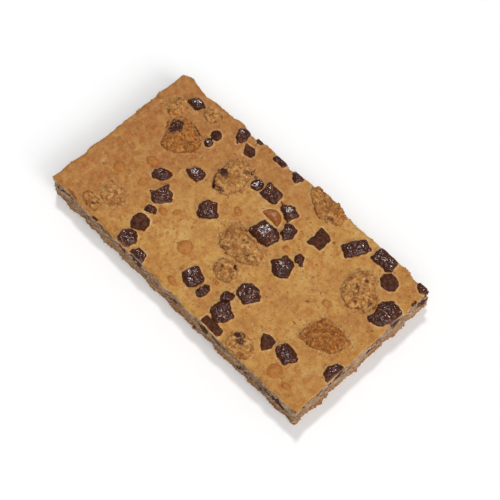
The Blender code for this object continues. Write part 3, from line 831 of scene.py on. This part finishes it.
def placed(name: str, data: bpy.types.ID) -> bpy.types.Object:
    """A new object in the scene that holds some data."""
    item = bpy.data.objects.new(name, data)
    bpy.context.scene.collection.objects.link(item)
    return item


def finish_piece(
    name: str, mesh: bpy.types.Mesh, material: bpy.types.Material, nodes: Sequence[str]
) -> bpy.types.Object:
    """Turns a mesh in metres into a piece of the bar, and logs its number of triangles.

    Args:
        name: The piece's name.
        mesh: Its mesh, in place.
        material: Its finish.
        nodes: The solids that it stands for.

    Returns:
        The piece.
    """
    mesh.name = name
    mesh.materials.clear()
    mesh.materials.append(material)
    mesh.shade_smooth()
    piece = placed(name, mesh)
    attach(piece, BODY)
    if nodes:
        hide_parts(*nodes)
    mesh.calc_loop_triangles()
    log.info("%s: %d triangles", name, len(mesh.loop_triangles))
    return piece


@dataclass
class DoughSlab:
    """The dough: one closed skin that laps against everything set in it."""

    chunks: Inclusions
    cookies: Inclusions
    form: SlabForm = SlabForm()
    cell: float = 0.31
    layers: int = 28
    waist: float = 0.25
    chunk_lap: float = 0.18
    cookie_lap: float = 0.08

    def build(self) -> bpy.types.Object:
        """Makes the skin as a fine grid over the top and the sides, and flat underneath."""
        across_x = round(self.form.length / self.cell)
        across_y = round(self.form.width / self.cell)
        rim = self.rim(across_x, across_y)
        points: list[Point] = []
        values: dict[str, list[float]] = {key: [] for key in self.marks()}
        index: dict[tuple[int, int, int], int] = {}

        def place(i: int, j: int, k: int) -> None:
            """Adds the point of one place in the lattice."""
            index[i, j, k] = len(points)
            x = self.form.length * (i / across_x - 0.5)
            y = self.form.width * (j / across_y - 0.5)
            on_rim = i in (0, across_x) or j in (0, across_y)
            point, marks = self.point(x, y, k / self.layers, on_rim)
            points.append(point)
            for key, value in marks.items():
                values[key].append(value)

        for i in range(across_x + 1):
            for j in range(across_y + 1):
                place(i, j, self.layers)
        for i, j in rim:
            for k in range(self.layers):
                place(i, j, k)

        faces: list[list[int]] = []
        for i in range(across_x):
            for j in range(across_y):
                ring = ((i, j), (i + 1, j), (i + 1, j + 1), (i, j + 1))
                faces.append([index[a, b, self.layers] for a, b in ring])
        for here, after in zip(rim, rim[1:] + rim[:1]):
            for k in range(self.layers):
                corners = ((*here, k), (*after, k), (*after, k + 1), (*here, k + 1))
                faces.append([index[corner] for corner in corners])
        faces.append([index[(*corner, 0)] for corner in reversed(rim)])

        mesh = bpy.data.meshes.new("dough_slab")
        mesh.from_pydata([Vector(point) * MM for point in points], [], faces)
        for key, listed in values.items():
            store(mesh, key, listed)
        return finish_piece("dough_slab", mesh, DoughFinish().build(), ["dough"])

    @staticmethod
    def marks() -> dict[str, float]:
        """The values that each point of the skin carries, as they are where nothing is near."""
        return {"side": 0.0, "crisp": 0.0, "collar": 0.0, "smear_and_crack_shade": 0.0, "bare": 1.0, "margin": 0.0}

    @staticmethod
    def rim(across_x: int, across_y: int) -> list[tuple[int, int]]:
        """The lattice's outer places, once round counter-clockwise."""
        return (
            [(i, 0) for i in range(across_x)]
            + [(across_x, j) for j in range(across_y)]
            + [(i, across_y) for i in range(across_x, 0, -1)]
            + [(0, j) for j in range(across_y, 0, -1)]
        )

    def point(
        self, x: float, y: float, share: float, on_rim: bool
    ) -> tuple[Point, dict[str, float]]:
        """One point of the skin.

        Args:
            x: Its place in the square plan.
            y: Its place in the square plan.
            share: Its height as a share of the slab's.
            on_rim: Whether it lies on the plan's outline.

        Returns:
            The point, and the values that the finish reads there.
        """
        form = self.form
        level = form.height * share
        plan_x, plan_y = form.rounded(x, y)
        move_x = form.moved(x, y, level, form.length)
        move_y = form.moved(y, x, level, form.width)
        marks = self.marks()
        if share < 1:
            inward = self.side_lap(plan_x, plan_y, level)
            move_x -= inward * math.copysign(1, x) * (abs(x) > form.length / 2 - 0.01)
            move_y -= inward * math.copysign(1, y) * (abs(y) > form.width / 2 - 0.01)
            z = share * form.top(x, y)
            marks["side"] = smooth(1.0, 0.93, share)
            marks["smear_and_crack_shade"] = side_mark_at(x, y, level, form)
            marks["bare"] = smooth(0.3, 0.1, inward)
            return (plan_x + move_x, plan_y + move_y, z), marks
        z, touching = self.lapped(plan_x + move_x, plan_y + move_y, form.top(x, y))
        marks.update(touching)
        marks["crisp"] = max(
            max(0.0, 1.1 - grain.radius(x, y)) * min(1.0, grain.strength / 0.4) for grain in CRISPS
        )
        marks["smear_and_crack_shade"] = smear_and_crack_shade_at(x, y)
        marks["side"] = 0.35 if on_rim else 0.0
        return (plan_x + move_x, plan_y + move_y, z), marks

    def lapped(self, x: float, y: float, z: float) -> tuple[float, dict[str, float]]:
        """Raises the skin in a collar round what is set in it, and draws it in below the piece.

        Args:
            x: The place.
            y: The place.
            z: The skin's height without the pieces.

        Returns:
            The height, and the strengths of the collar, the bare dough and the crumbly margin.
        """
        query = self.form.height - self.waist
        chunk = self.chunks.distance(x, y, query)
        cookie = self.cookies.distance(x, y, query)
        uneven = 1 + 1.4 * wave(x / 1.1, y / 1.1, 51.0)
        if chunk < 0:
            z -= 1.1 * smooth(0.0, 0.5, -chunk)
        z += self.chunk_lap * uneven * math.exp(-((max(0.0, chunk) / 0.5) ** 2))
        ragged = cookie + 2.0 * wave(x / 1.7, y / 1.7, 57.0) + 0.5 * wave(x / 0.6, y / 0.6, 63.0)
        z -= 1.4 * smooth(-0.1, -1.5, ragged)
        z += self.cookie_lap * uneven * math.exp(-((cookie / 0.7) ** 2))
        collar = math.exp(-((max(0.0, chunk - 0.25) / 0.42) ** 2)) if chunk > -0.1 else 0.0
        collar = max(collar, 0.4 * math.exp(-(((cookie - 0.5) / 0.35) ** 2)))
        bare = smooth(0.1, 0.5, chunk) * smooth(-0.3, 0.2, cookie)
        margin = math.exp(-(((cookie - 0.1) / 0.7) ** 2))
        return z, {"collar": 0.85 * collar, "bare": bare, "margin": margin}

    def side_lap(self, x: float, y: float, z: float) -> float:
        """How far a side draws in where a piece was cut through, so that the cut face shows."""
        inner = 0.35
        probe_x = math.copysign(min(abs(x), self.form.length / 2 - inner), x)
        probe_y = math.copysign(min(abs(y), self.form.width / 2 - inner), y)
        gap = min(
            self.chunks.distance(probe_x, probe_y, z), self.cookies.distance(probe_x, probe_y, z)
        )
        ragged = 0.25 + 0.9 * wave(x / 1.3, y / 1.3, z / 0.9)
        return 0.75 * smooth(0.15, -0.2, gap + ragged)


def flattened(item: bpy.types.Object) -> bpy.types.Mesh:
    """Carries out an object's modifiers into one plain mesh, and removes the object."""
    graph = bpy.context.evaluated_depsgraph_get()
    mesh = bpy.data.meshes.new_from_object(item.evaluated_get(graph))
    bpy.data.objects.remove(item)
    return mesh


@dataclass(frozen=True)
class PieceShape:
    """How the surface of a piece is made from its solid."""

    voxel: float
    smoothing: int

    def fine_copy(self, node: bpy.types.Object) -> bpy.types.Mesh:
        """A closed, finely divided copy of a solid, in millimetres."""
        rough = bmesh.new()
        rough.from_mesh(node.data)
        bmesh.ops.remove_doubles(rough, verts=rough.verts, dist=1e-7)
        bmesh.ops.scale(rough, vec=(1 / MM,) * 3, verts=rough.verts)
        mesh = bpy.data.meshes.new(node.name)
        rough.to_mesh(mesh)
        rough.free()
        holder = placed(node.name + "_fine", mesh)
        remesh = holder.modifiers.new("even faces", "REMESH")
        remesh.mode = "VOXEL"
        remesh.voxel_size = self.voxel
        relax = holder.modifiers.new("soft edges", "SMOOTH")
        relax.factor = 0.5
        relax.iterations = self.smoothing
        fine = flattened(holder)
        bpy.data.meshes.remove(mesh)
        return fine


def displaced(mesh: bpy.types.Mesh, relief: Callable[[Vector, Vector], float]) -> list[float]:
    """Moves each point of a mesh in millimetres along its normal, then turns it into metres.

    Args:
        mesh: The mesh, which is changed.
        relief: How far the surface stands out at a place with a certain normal.

    Returns:
        How far each point was moved.
    """
    moved = []
    places = []
    for vertex in mesh.vertices:
        push = relief(vertex.co, vertex.normal)
        moved.append(push)
        places.append((vertex.co + vertex.normal * push) * MM)
    mesh.vertices.foreach_set("co", np.asarray(places, np.float32).ravel())
    mesh.update()
    return moved


@dataclass
class Chunks:
    """The chocolate chunks, each broken and crinkled in its own way."""

    nodes: dict[str, bpy.types.Object]
    slots: dict[str, str]
    form: SlabForm = SlabForm()
    shape: PieceShape = PieceShape(voxel=0.15, smoothing=3)
    growth: float = 0.26
    crag: float = 0.22
    facet: float = 2.1
    tilt: float = 0.34
    pitting: float = 0.13
    cut_growth: float = 0.05

    def build(self) -> None:
        """Makes a piece for each chunk."""
        finishes = {
            "chocolate": ChocolateFinish(Chocolate.GLOSSY).build(),
            "dull_chocolate": ChocolateFinish(Chocolate.DULL).build(),
        }
        for name, node in self.nodes.items():
            slot = self.slots[name]
            mesh = self.shape.fine_copy(node)
            relief = self.dull_relief
            if slot == "chocolate":
                relief = partial(self.relief, self.level_tops(mesh))
            moved = displaced(mesh, relief)
            store(mesh, "hollow", [(self.growth - push) / HOLLOW for push in moved])
            finish_piece(f"{name}_chocolate", mesh, finishes[slot], [name])

    @staticmethod
    def level_tops(mesh: bpy.types.Mesh) -> list[tuple[Mark, float]]:
        """The level places on a chunk, and the height of each."""
        tops = [vertex.co for vertex in mesh.vertices if vertex.normal.z > 0.5]
        levels = []
        for mark in SHEENS:
            heights = [place.z for place in tops if mark.radius(place.x, place.y) < 0.6]
            if heights:
                levels.append((mark, sum(heights) / len(heights)))
        return levels

    def relief(self, levels: list[tuple[Mark, float]], place: Vector, normal: Vector) -> float:
        """Broken facets, crags and pits of a shiny chunk, rougher on its flanks.

        Args:
            levels: The level places on it, and their heights.
            place: The place.
            normal: Which way the surface faces there.

        Returns:
            How far the surface stands out.
        """
        flank = 1.6 - 0.6 * abs(normal.z)
        crag = self.crag * flank * wave(*(place / 1.5)) + self.facets(place)
        push = self.calmed(place, crag + self.pitting * wave(*(place / 0.55)))
        for mark, height in levels:
            share = mark.strength * smooth(1.3, 0.8, mark.radius(place.x, place.y))
            share *= smooth(0.45, 0.8, normal.z)
            if share > 0:
                rise = max(-0.5, min(0.5, height - place.z)) / normal.z
                flat = rise + self.growth + 0.07 * wave(*(place / 0.5))
                push += share * (flat - push)
        return push

    def facets(self, place: Vector) -> float:
        """How far the surface stands out where it is broken into small tilted planes."""
        _, centres = noise.voronoi(place / self.facet)
        away = place / self.facet - centres[0]
        lean = noise.cell_vector(centres[0] * 7.3) - Vector((0.5, 0.5, 0.5))
        return self.tilt * self.facet * away.dot(lean)

    def dull_relief(self, place: Vector, normal: Vector) -> float:
        """The flatter surface of a dry chunk."""
        crag = self.crag * (1.2 - 0.6 * abs(normal.z)) * wave(*(place / 1.7))
        return self.calmed(place, crag + self.pitting * wave(*(place / 0.5)))

    def calmed(self, place: Vector, crags: float) -> float:
        """The growth and the crags of a place, both less where the bar's side was cut."""
        inside = min(self.form.length / 2 - abs(place.x), self.form.width / 2 - abs(place.y))
        free = smooth(0.1, 0.8, inside)
        return self.cut_growth + (self.growth - self.cut_growth) * free + crags * (0.3 + 0.7 * free)


@dataclass
class Cookies:
    """The pieces of cookie: crumbly, with knobs, hollows and cracks."""

    nodes: dict[str, bpy.types.Object]
    shape: PieceShape = PieceShape(voxel=0.2, smoothing=1)
    growth: float = 0.28
    crag: float = 0.38
    crumb: float = 0.17
    grain: float = 0.10

    def build(self) -> list[bpy.types.Object]:
        """Makes a piece for each cookie."""
        finish = CookieFinish().build()
        made = []
        for name, node in self.nodes.items():
            mesh = self.shape.fine_copy(node)
            moved = displaced(mesh, self.relief)
            # How deep each point lies, which the cookie's finish turns into painted shade
            store(mesh, "hollow", [(self.growth - push) / HOLLOW for push in moved])
            store(mesh, "toast", [TOASTED.get(name, 0.0)] * len(moved))
            places = [vertex.co / MM for vertex in mesh.vertices]
            store(mesh, "smear_and_crack_shade", [smear_and_crack_shade_at(place.x, place.y) for place in places])
            store(mesh, "bare", [float(place.z > TOP - 0.1) for place in places])
            made.append(finish_piece(f"{name}_crumb", mesh, finish, [name]))
        return made

    def relief(self, place: Vector, _: Vector) -> float:
        """Knobs and hollows, then crumbs, then grains."""
        crag = self.crag * wave(*(place / 2.0)) + 0.5 * self.crag * wave(*(place / 1.0))
        crumb = self.crumb * (0.42 - noise.voronoi(place / 0.8)[0][0])
        fine = self.grain * wave(*(place / 0.5)) + 0.8 * self.grain * wave(*(place / 0.28))
        return self.growth + crag + crumb + fine


@dataclass
class Caramel:
    """The half-melted chip of caramel."""

    node: bpy.types.Object
    shape: PieceShape = PieceShape(voxel=0.15, smoothing=4)
    relief: float = 0.18

    def build(self) -> None:
        """Makes the piece."""
        mesh = self.shape.fine_copy(self.node)
        displaced(mesh, lambda place, _: self.relief * wave(*(place / 1.1)))
        finish = CaramelFinish().build()
        finish_piece("caramel_chip_smooth", mesh, finish, ["caramel_chip"])


class ScatterTree(NodeTree):
    """A node tree that strews crumbs over a carrier, each as real mesh."""

    NAMED = {
        "Where": "String",
        "Density": "Float",
        "Smallest": "Float",
        "Largest": "Float",
        "Proportions": "Vector",
        "Turn": "Float",
        "Ragged": "Float",
        "Facets": "Int",
        "Seed": "Int",
        "Finish": "Material",
    }

    def __init__(self) -> None:
        """Makes the tree with its named inputs."""
        self.tree = bpy.data.node_groups.new("scattered_crumbs", "GeometryNodeTree")
        interface = self.tree.interface
        interface.new_socket("Carrier", in_out="INPUT", socket_type="NodeSocketGeometry")
        interface.new_socket("Crumbs", in_out="OUTPUT", socket_type="NodeSocketGeometry")
        self.sockets: dict[str, str] = {}
        for name, kind in self.NAMED.items():
            item = interface.new_socket(name, in_out="INPUT", socket_type=f"NodeSocket{kind}")
            self.sockets[name] = item.identifier
        self.given = self.add("NodeGroupInput").outputs
        self.wire()

    def vector(self, operation: str, first: object, second: object) -> Socket:
        """One sum of two vectors."""
        return self.add("ShaderNodeVectorMath", {0: first, 1: second}, operation=operation).outputs[0]

    def wire(self) -> None:
        """Strews the points, sets a crumb on each, and roughens them all."""
        given = self.given
        free = self.add("GeometryNodeInputNamedAttribute", {"Name": given["Where"]})
        factors = {0: given["Density"], 1: free.outputs["Attribute"]}
        density = self.add("ShaderNodeMath", factors, operation="MULTIPLY").outputs[0]
        inputs = {"Mesh": given["Carrier"], "Density": density, "Seed": given["Seed"]}
        strewn = self.add("GeometryNodeDistributePointsOnFaces", inputs).outputs
        crumb = self.add("GeometryNodeMeshIcoSphere", {"Radius": 0.5, "Subdivisions": given["Facets"]})
        inputs = {
            "Points": strewn["Points"],
            "Instance": crumb.outputs["Mesh"],
            "Rotation": self.turned(strewn["Normal"]),
            "Scale": self.scaled(given["Proportions"], self.size()),
        }
        instances = self.add("GeometryNodeInstanceOnPoints", inputs).outputs[0]
        real = self.add("GeometryNodeRealizeInstances", {0: instances}).outputs[0]
        uneven = self.add("ShaderNodeTexNoise", {"Scale": 2200.0, "Detail": 1.0}).outputs["Color"]
        centred = self.vector("SUBTRACT", uneven, (0.5, 0.5, 0.5))
        inputs = {"Geometry": real, "Offset": self.scaled(centred, given["Ragged"])}
        roughened = self.add("GeometryNodeSetPosition", inputs).outputs[0]
        inputs = {"Geometry": roughened, "Material": given["Finish"]}
        dressed = self.add("GeometryNodeSetMaterial", inputs).outputs[0]
        self.add("NodeGroupOutput", {"Crumbs": dressed})

    def turned(self, normal: Socket) -> Socket:
        """Turns that lay the crumbs along the level on their carrier, then swing each one."""
        align = "FunctionNodeAlignRotationToVector"
        upright = self.add(align, {"Vector": normal}, axis="Z").outputs[0]
        level = self.vector("CROSS_PRODUCT", normal, (0.01, 0.02, 1.0))
        inputs = {"Rotation": upright, "Vector": level}
        along = self.add(align, inputs, axis="X", pivot_axis="Z").outputs[0]
        inputs = {"Min": (-1.0, -1.0, -1.0), "Max": (1.0, 1.0, 1.0), "Seed": self.given["Seed"]}
        swing = self.add("FunctionNodeRandomValue", inputs, data_type="FLOAT_VECTOR").outputs[0]
        inputs = {"Rotation": along, "Rotate By": self.scaled(swing, self.given["Turn"])}
        return self.add("FunctionNodeRotateRotation", inputs, rotation_space="LOCAL").outputs[0]

    def size(self) -> Socket:
        """A size for each crumb, from the smallest to the largest."""
        node = self.add("FunctionNodeRandomValue", data_type="FLOAT")
        for name, source in (("Min", "Smallest"), ("Max", "Largest")):
            socket = next(s for s in node.inputs if s.name == name and s.enabled)
            self.feed(socket, self.given[source])
        return next(s for s in node.outputs if s.enabled)


@dataclass(frozen=True)
class Scatter:
    """One kind of crumb, strewn over a carrier; its sizes are in millimetres."""

    name: str
    slot: str
    carrier: str
    density: float
    smallest: float
    largest: float
    proportions: Point
    turn: float
    ragged: float
    facets: int
    seed: int
    finish: CrumbFinish
    where: str = "bare"

    def build(self, tree: ScatterTree, carrier: bpy.types.Mesh) -> None:
        """Strews the crumbs and makes them one piece.

        Args:
            tree: The node tree that strews them.
            carrier: The surface that they lie on, with its bare places marked.
        """
        holder = placed(self.name + "_carrier", carrier)
        modifier = holder.modifiers.new("crumbs", "NODES")
        modifier.node_group = tree.tree
        finish = self.finish.build()
        values = {
            "Where": self.where,
            "Density": self.density / MM**2,
            "Smallest": self.smallest * MM,
            "Largest": self.largest * MM,
            "Proportions": self.proportions,
            "Turn": self.turn,
            "Ragged": self.ragged * MM,
            "Facets": self.facets,
            "Seed": self.seed,
            "Finish": finish,
        }
        for name, value in values.items():
            modifier[tree.sockets[name]] = value
        mesh = flattened(holder)
        self.lift(mesh)
        finish_piece(self.name, mesh, finish, [])

    @staticmethod
    def lift(mesh: bpy.types.Mesh) -> None:
        """Keeps every crumb above what the bar rests on."""
        points = np.zeros(len(mesh.vertices) * 3, np.float32)
        mesh.vertices.foreach_get("co", points)
        points[2::3] = np.maximum(points[2::3], 0.02 * MM)
        mesh.vertices.foreach_set("co", points)
        mesh.update()


def carrier_of(
    pieces: Iterable[bpy.types.Object], keep: Callable[[Vector, Vector], bool]
) -> bpy.types.Mesh:
    """The faces of some pieces that crumbs may lie on, with the values at their points.

    Args:
        pieces: The pieces.
        keep: Says from a face's middle in millimetres and its normal whether it is kept.

    Returns:
        One open mesh.
    """
    joined = bmesh.new()
    for piece in pieces:
        joined.from_mesh(piece.data)
    dropped = [face for face in joined.faces if not keep(face.calc_center_median() / MM, face.normal)]
    bmesh.ops.delete(joined, geom=dropped, context="FACES")
    mesh = bpy.data.meshes.new("carrier")
    joined.to_mesh(mesh)
    joined.free()
    return mesh


# In the order in which they are strewn: specks and grains in the skin, flakes and crumbs of
# the cut sides, browned crumbs at their foot, and what came loose from the cookies
SCATTERED = (
    Scatter(
        "red_specks", "dough", "top", 0.09, 0.25, 0.70, (1.0, 0.7, 0.30), 0.5, 0.10, 1, 11,
        CrumbFinish("red_brown_speck", tone(146, 82, 32), tone(172, 106, 46), 0.5),
    ),
    Scatter(
        "pale_flecks", "dough", "top", 0.12, 0.16, 0.40, (1.0, 0.8, 0.35), 0.8, 0.06, 1, 12,
        CrumbFinish("pale_fleck", tone(190, 146, 86), tone(210, 170, 112), 0.35),
    ),
    Scatter(
        "side_flakes", "dough", "sides", 0.45, 0.4, 1.0, (2.2, 0.5, 0.42), 0.18, 0.25, 2, 13,
        CrumbFinish("side_flake", tone(132, 104, 80), tone(192, 164, 132), 0.8),
    ),
    Scatter(
        "side_crumbs", "dough", "sides", 0.35, 0.25, 0.75, (1.0, 0.8, 0.7), 1.5, 0.2, 2, 14,
        CrumbFinish("side_crumb", tone(120, 84, 54), tone(178, 140, 102), 0.8),
    ),
    Scatter(
        "foot_crumbs", "dough", "foot", 0.9, 0.4, 1.1, (1.2, 0.9, 0.7), 1.2, 0.3, 2, 15,
        CrumbFinish("foot_crumb", tone(140, 84, 42), tone(190, 136, 84), 0.75),
    ),
    Scatter(
        "cookie_grains", "cookie", "crowns", 1.1, 0.2, 0.55, (1.0, 0.9, 0.8), 1.5, 0.15, 1, 16,
        CrumbFinish("cookie_grain", tone(134, 86, 42), tone(196, 148, 90), 0.85),
    ),
    Scatter(
        "margin_crumbs", "cookie", "top", 3.0, 0.18, 0.60, (1.0, 0.9, 0.6), 1.0, 0.18, 1, 17,
        CrumbFinish("margin_crumb", tone(140, 90, 42), tone(186, 138, 78), 0.85), "margin",
    ),
)


def strew(slab: bpy.types.Object, cookies: list[bpy.types.Object]) -> None:
    """Strews each kind of crumb where it lies.

    Args:
        slab: The finished dough.
        cookies: The finished pieces of cookie.
    """
    tree = ScatterTree()
    carriers = {
        "top": carrier_of([slab], lambda place, normal: place.z > 8.0 and normal.z > 0.7),
        "sides": carrier_of([slab], lambda place, normal: 0.6 < place.z < 8.2 and abs(normal.z) < 0.7),
        "foot": carrier_of([slab], lambda place, normal: 0.25 < place.z < 1.1 and normal.z > -0.7),
        "crowns": carrier_of(cookies, lambda place, normal: place.z > TOP and normal.z > 0.1),
    }
    for kind in SCATTERED:
        kind.build(tree, carriers[kind.carrier])


class Lamp(NamedTuple):
    """A far, soft light: its angles round the bar and its width in degrees, and its strength."""

    name: str
    azimuth: float
    elevation: float
    angle: float
    strength: float


@dataclass(frozen=True)
class Studio:
    """The floor, the lights and the camera at the photo's angle."""

    azimuth: float = 46.34
    elevation: float = 62.73
    distance: float = 0.3758
    target: Point = (0.00355, 0.00192, 0.0)
    lens: float = 93.6
    sensor: float = 36.0
    floor_size: float = 12.0
    world: float = 0.30
    lamps: tuple[Lamp, ...] = (
        Lamp("key", 226.0, 60.0, 8.0, 1.18),
        Lamp("fill", 62.0, 50.0, 60.0, 1.25),
        Lamp("right", 88.0, 30.0, 28.0, 0.94),
    )

    def build(self) -> None:
        """Makes the set round the bar."""
        self.make_floor()
        self.make_camera()
        self.make_world()
        for lamp in self.lamps:
            self.make_light(lamp)

    def make_floor(self) -> None:
        """A wide flat sheet that the bar lies on."""
        mesh = bpy.data.meshes.new("floor")
        half = self.floor_size / 2
        corners = [(-half, -half, 0), (half, -half, 0), (half, half, 0), (-half, half, 0)]
        mesh.from_pydata(corners, [], [(0, 1, 2, 3)])
        mesh.materials.append(FloorFinish().build())
        placed("floor", mesh)

    def make_camera(self) -> None:
        """The camera that saw the bar."""
        data = bpy.data.cameras.new("camera")
        data.lens = self.lens
        data.sensor_width = self.sensor
        data.clip_start = 0.01
        camera = placed("camera", data)
        towards = self.aim(camera, self.azimuth, self.elevation)
        camera.location = Vector(self.target) + towards * self.distance
        bpy.context.scene.camera = camera

    def make_world(self) -> None:
        """Even white light from all round."""
        world = bpy.data.worlds.new("studio")
        world.use_nodes = True
        background = world.node_tree.nodes["Background"]
        background.inputs["Color"].default_value = (1.0, 1.0, 1.0, 1.0)
        background.inputs["Strength"].default_value = self.world
        bpy.context.scene.world = world
        bpy.context.scene.view_settings.view_transform = "Standard"

    def make_light(self, lamp: Lamp) -> None:
        """A light that shines evenly over the bar and the floor."""
        data = bpy.data.lights.new(lamp.name, "SUN")
        data.angle = math.radians(lamp.angle)
        data.energy = lamp.strength
        self.aim(placed(lamp.name, data), lamp.azimuth, lamp.elevation)

    @staticmethod
    def aim(item: bpy.types.Object, azimuth: float, elevation: float) -> Vector:
        """Turns a camera or light towards the bar.

        Args:
            item: The camera or light.
            azimuth: Where it stands round the bar, in degrees.
            elevation: How high it stands, in degrees.

        Returns:
            The direction from the bar towards it.
        """
        turn = math.radians(azimuth)
        rise = math.radians(elevation)
        level = math.cos(rise)
        towards = Vector((math.sin(turn) * level, -math.cos(turn) * level, math.sin(rise)))
        item.rotation_mode = "QUATERNION"
        item.rotation_quaternion = (-towards).to_track_quat("-Z", "Y")
        return towards


def clear_scene() -> None:
    """Removes whatever the scene starts with."""
    for thing in list(bpy.data.objects):
        bpy.data.objects.remove(thing)


def main() -> None:
    """Builds the bar round its frame, then the set round the bar."""
    logging.basicConfig(level=logging.INFO, format="%(name)s: %(message)s")
    clear_scene()
    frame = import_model()
    nodes = frame["nodes"]
    slots = {part["node"]: part["material_slot"] for part in frame["record"]["subparts"]}
    chocolate = {name: nodes[name] for name in sorted(nodes) if "chocolate" in slots[name]}
    cookie = {name: nodes[name] for name in sorted(nodes) if slots[name] == "cookie"}

    chunk_solids = Inclusions([*chocolate.values(), nodes["caramel_chip"]])
    slab = DoughSlab(chunks=chunk_solids, cookies=Inclusions(cookie.values())).build()
    Chunks(chocolate, slots).build()
    cookies = Cookies(cookie).build()
    Caramel(nodes["caramel_chip"]).build()
    strew(slab, cookies)
    Studio().build()


if __name__ == "__main__":
    main()
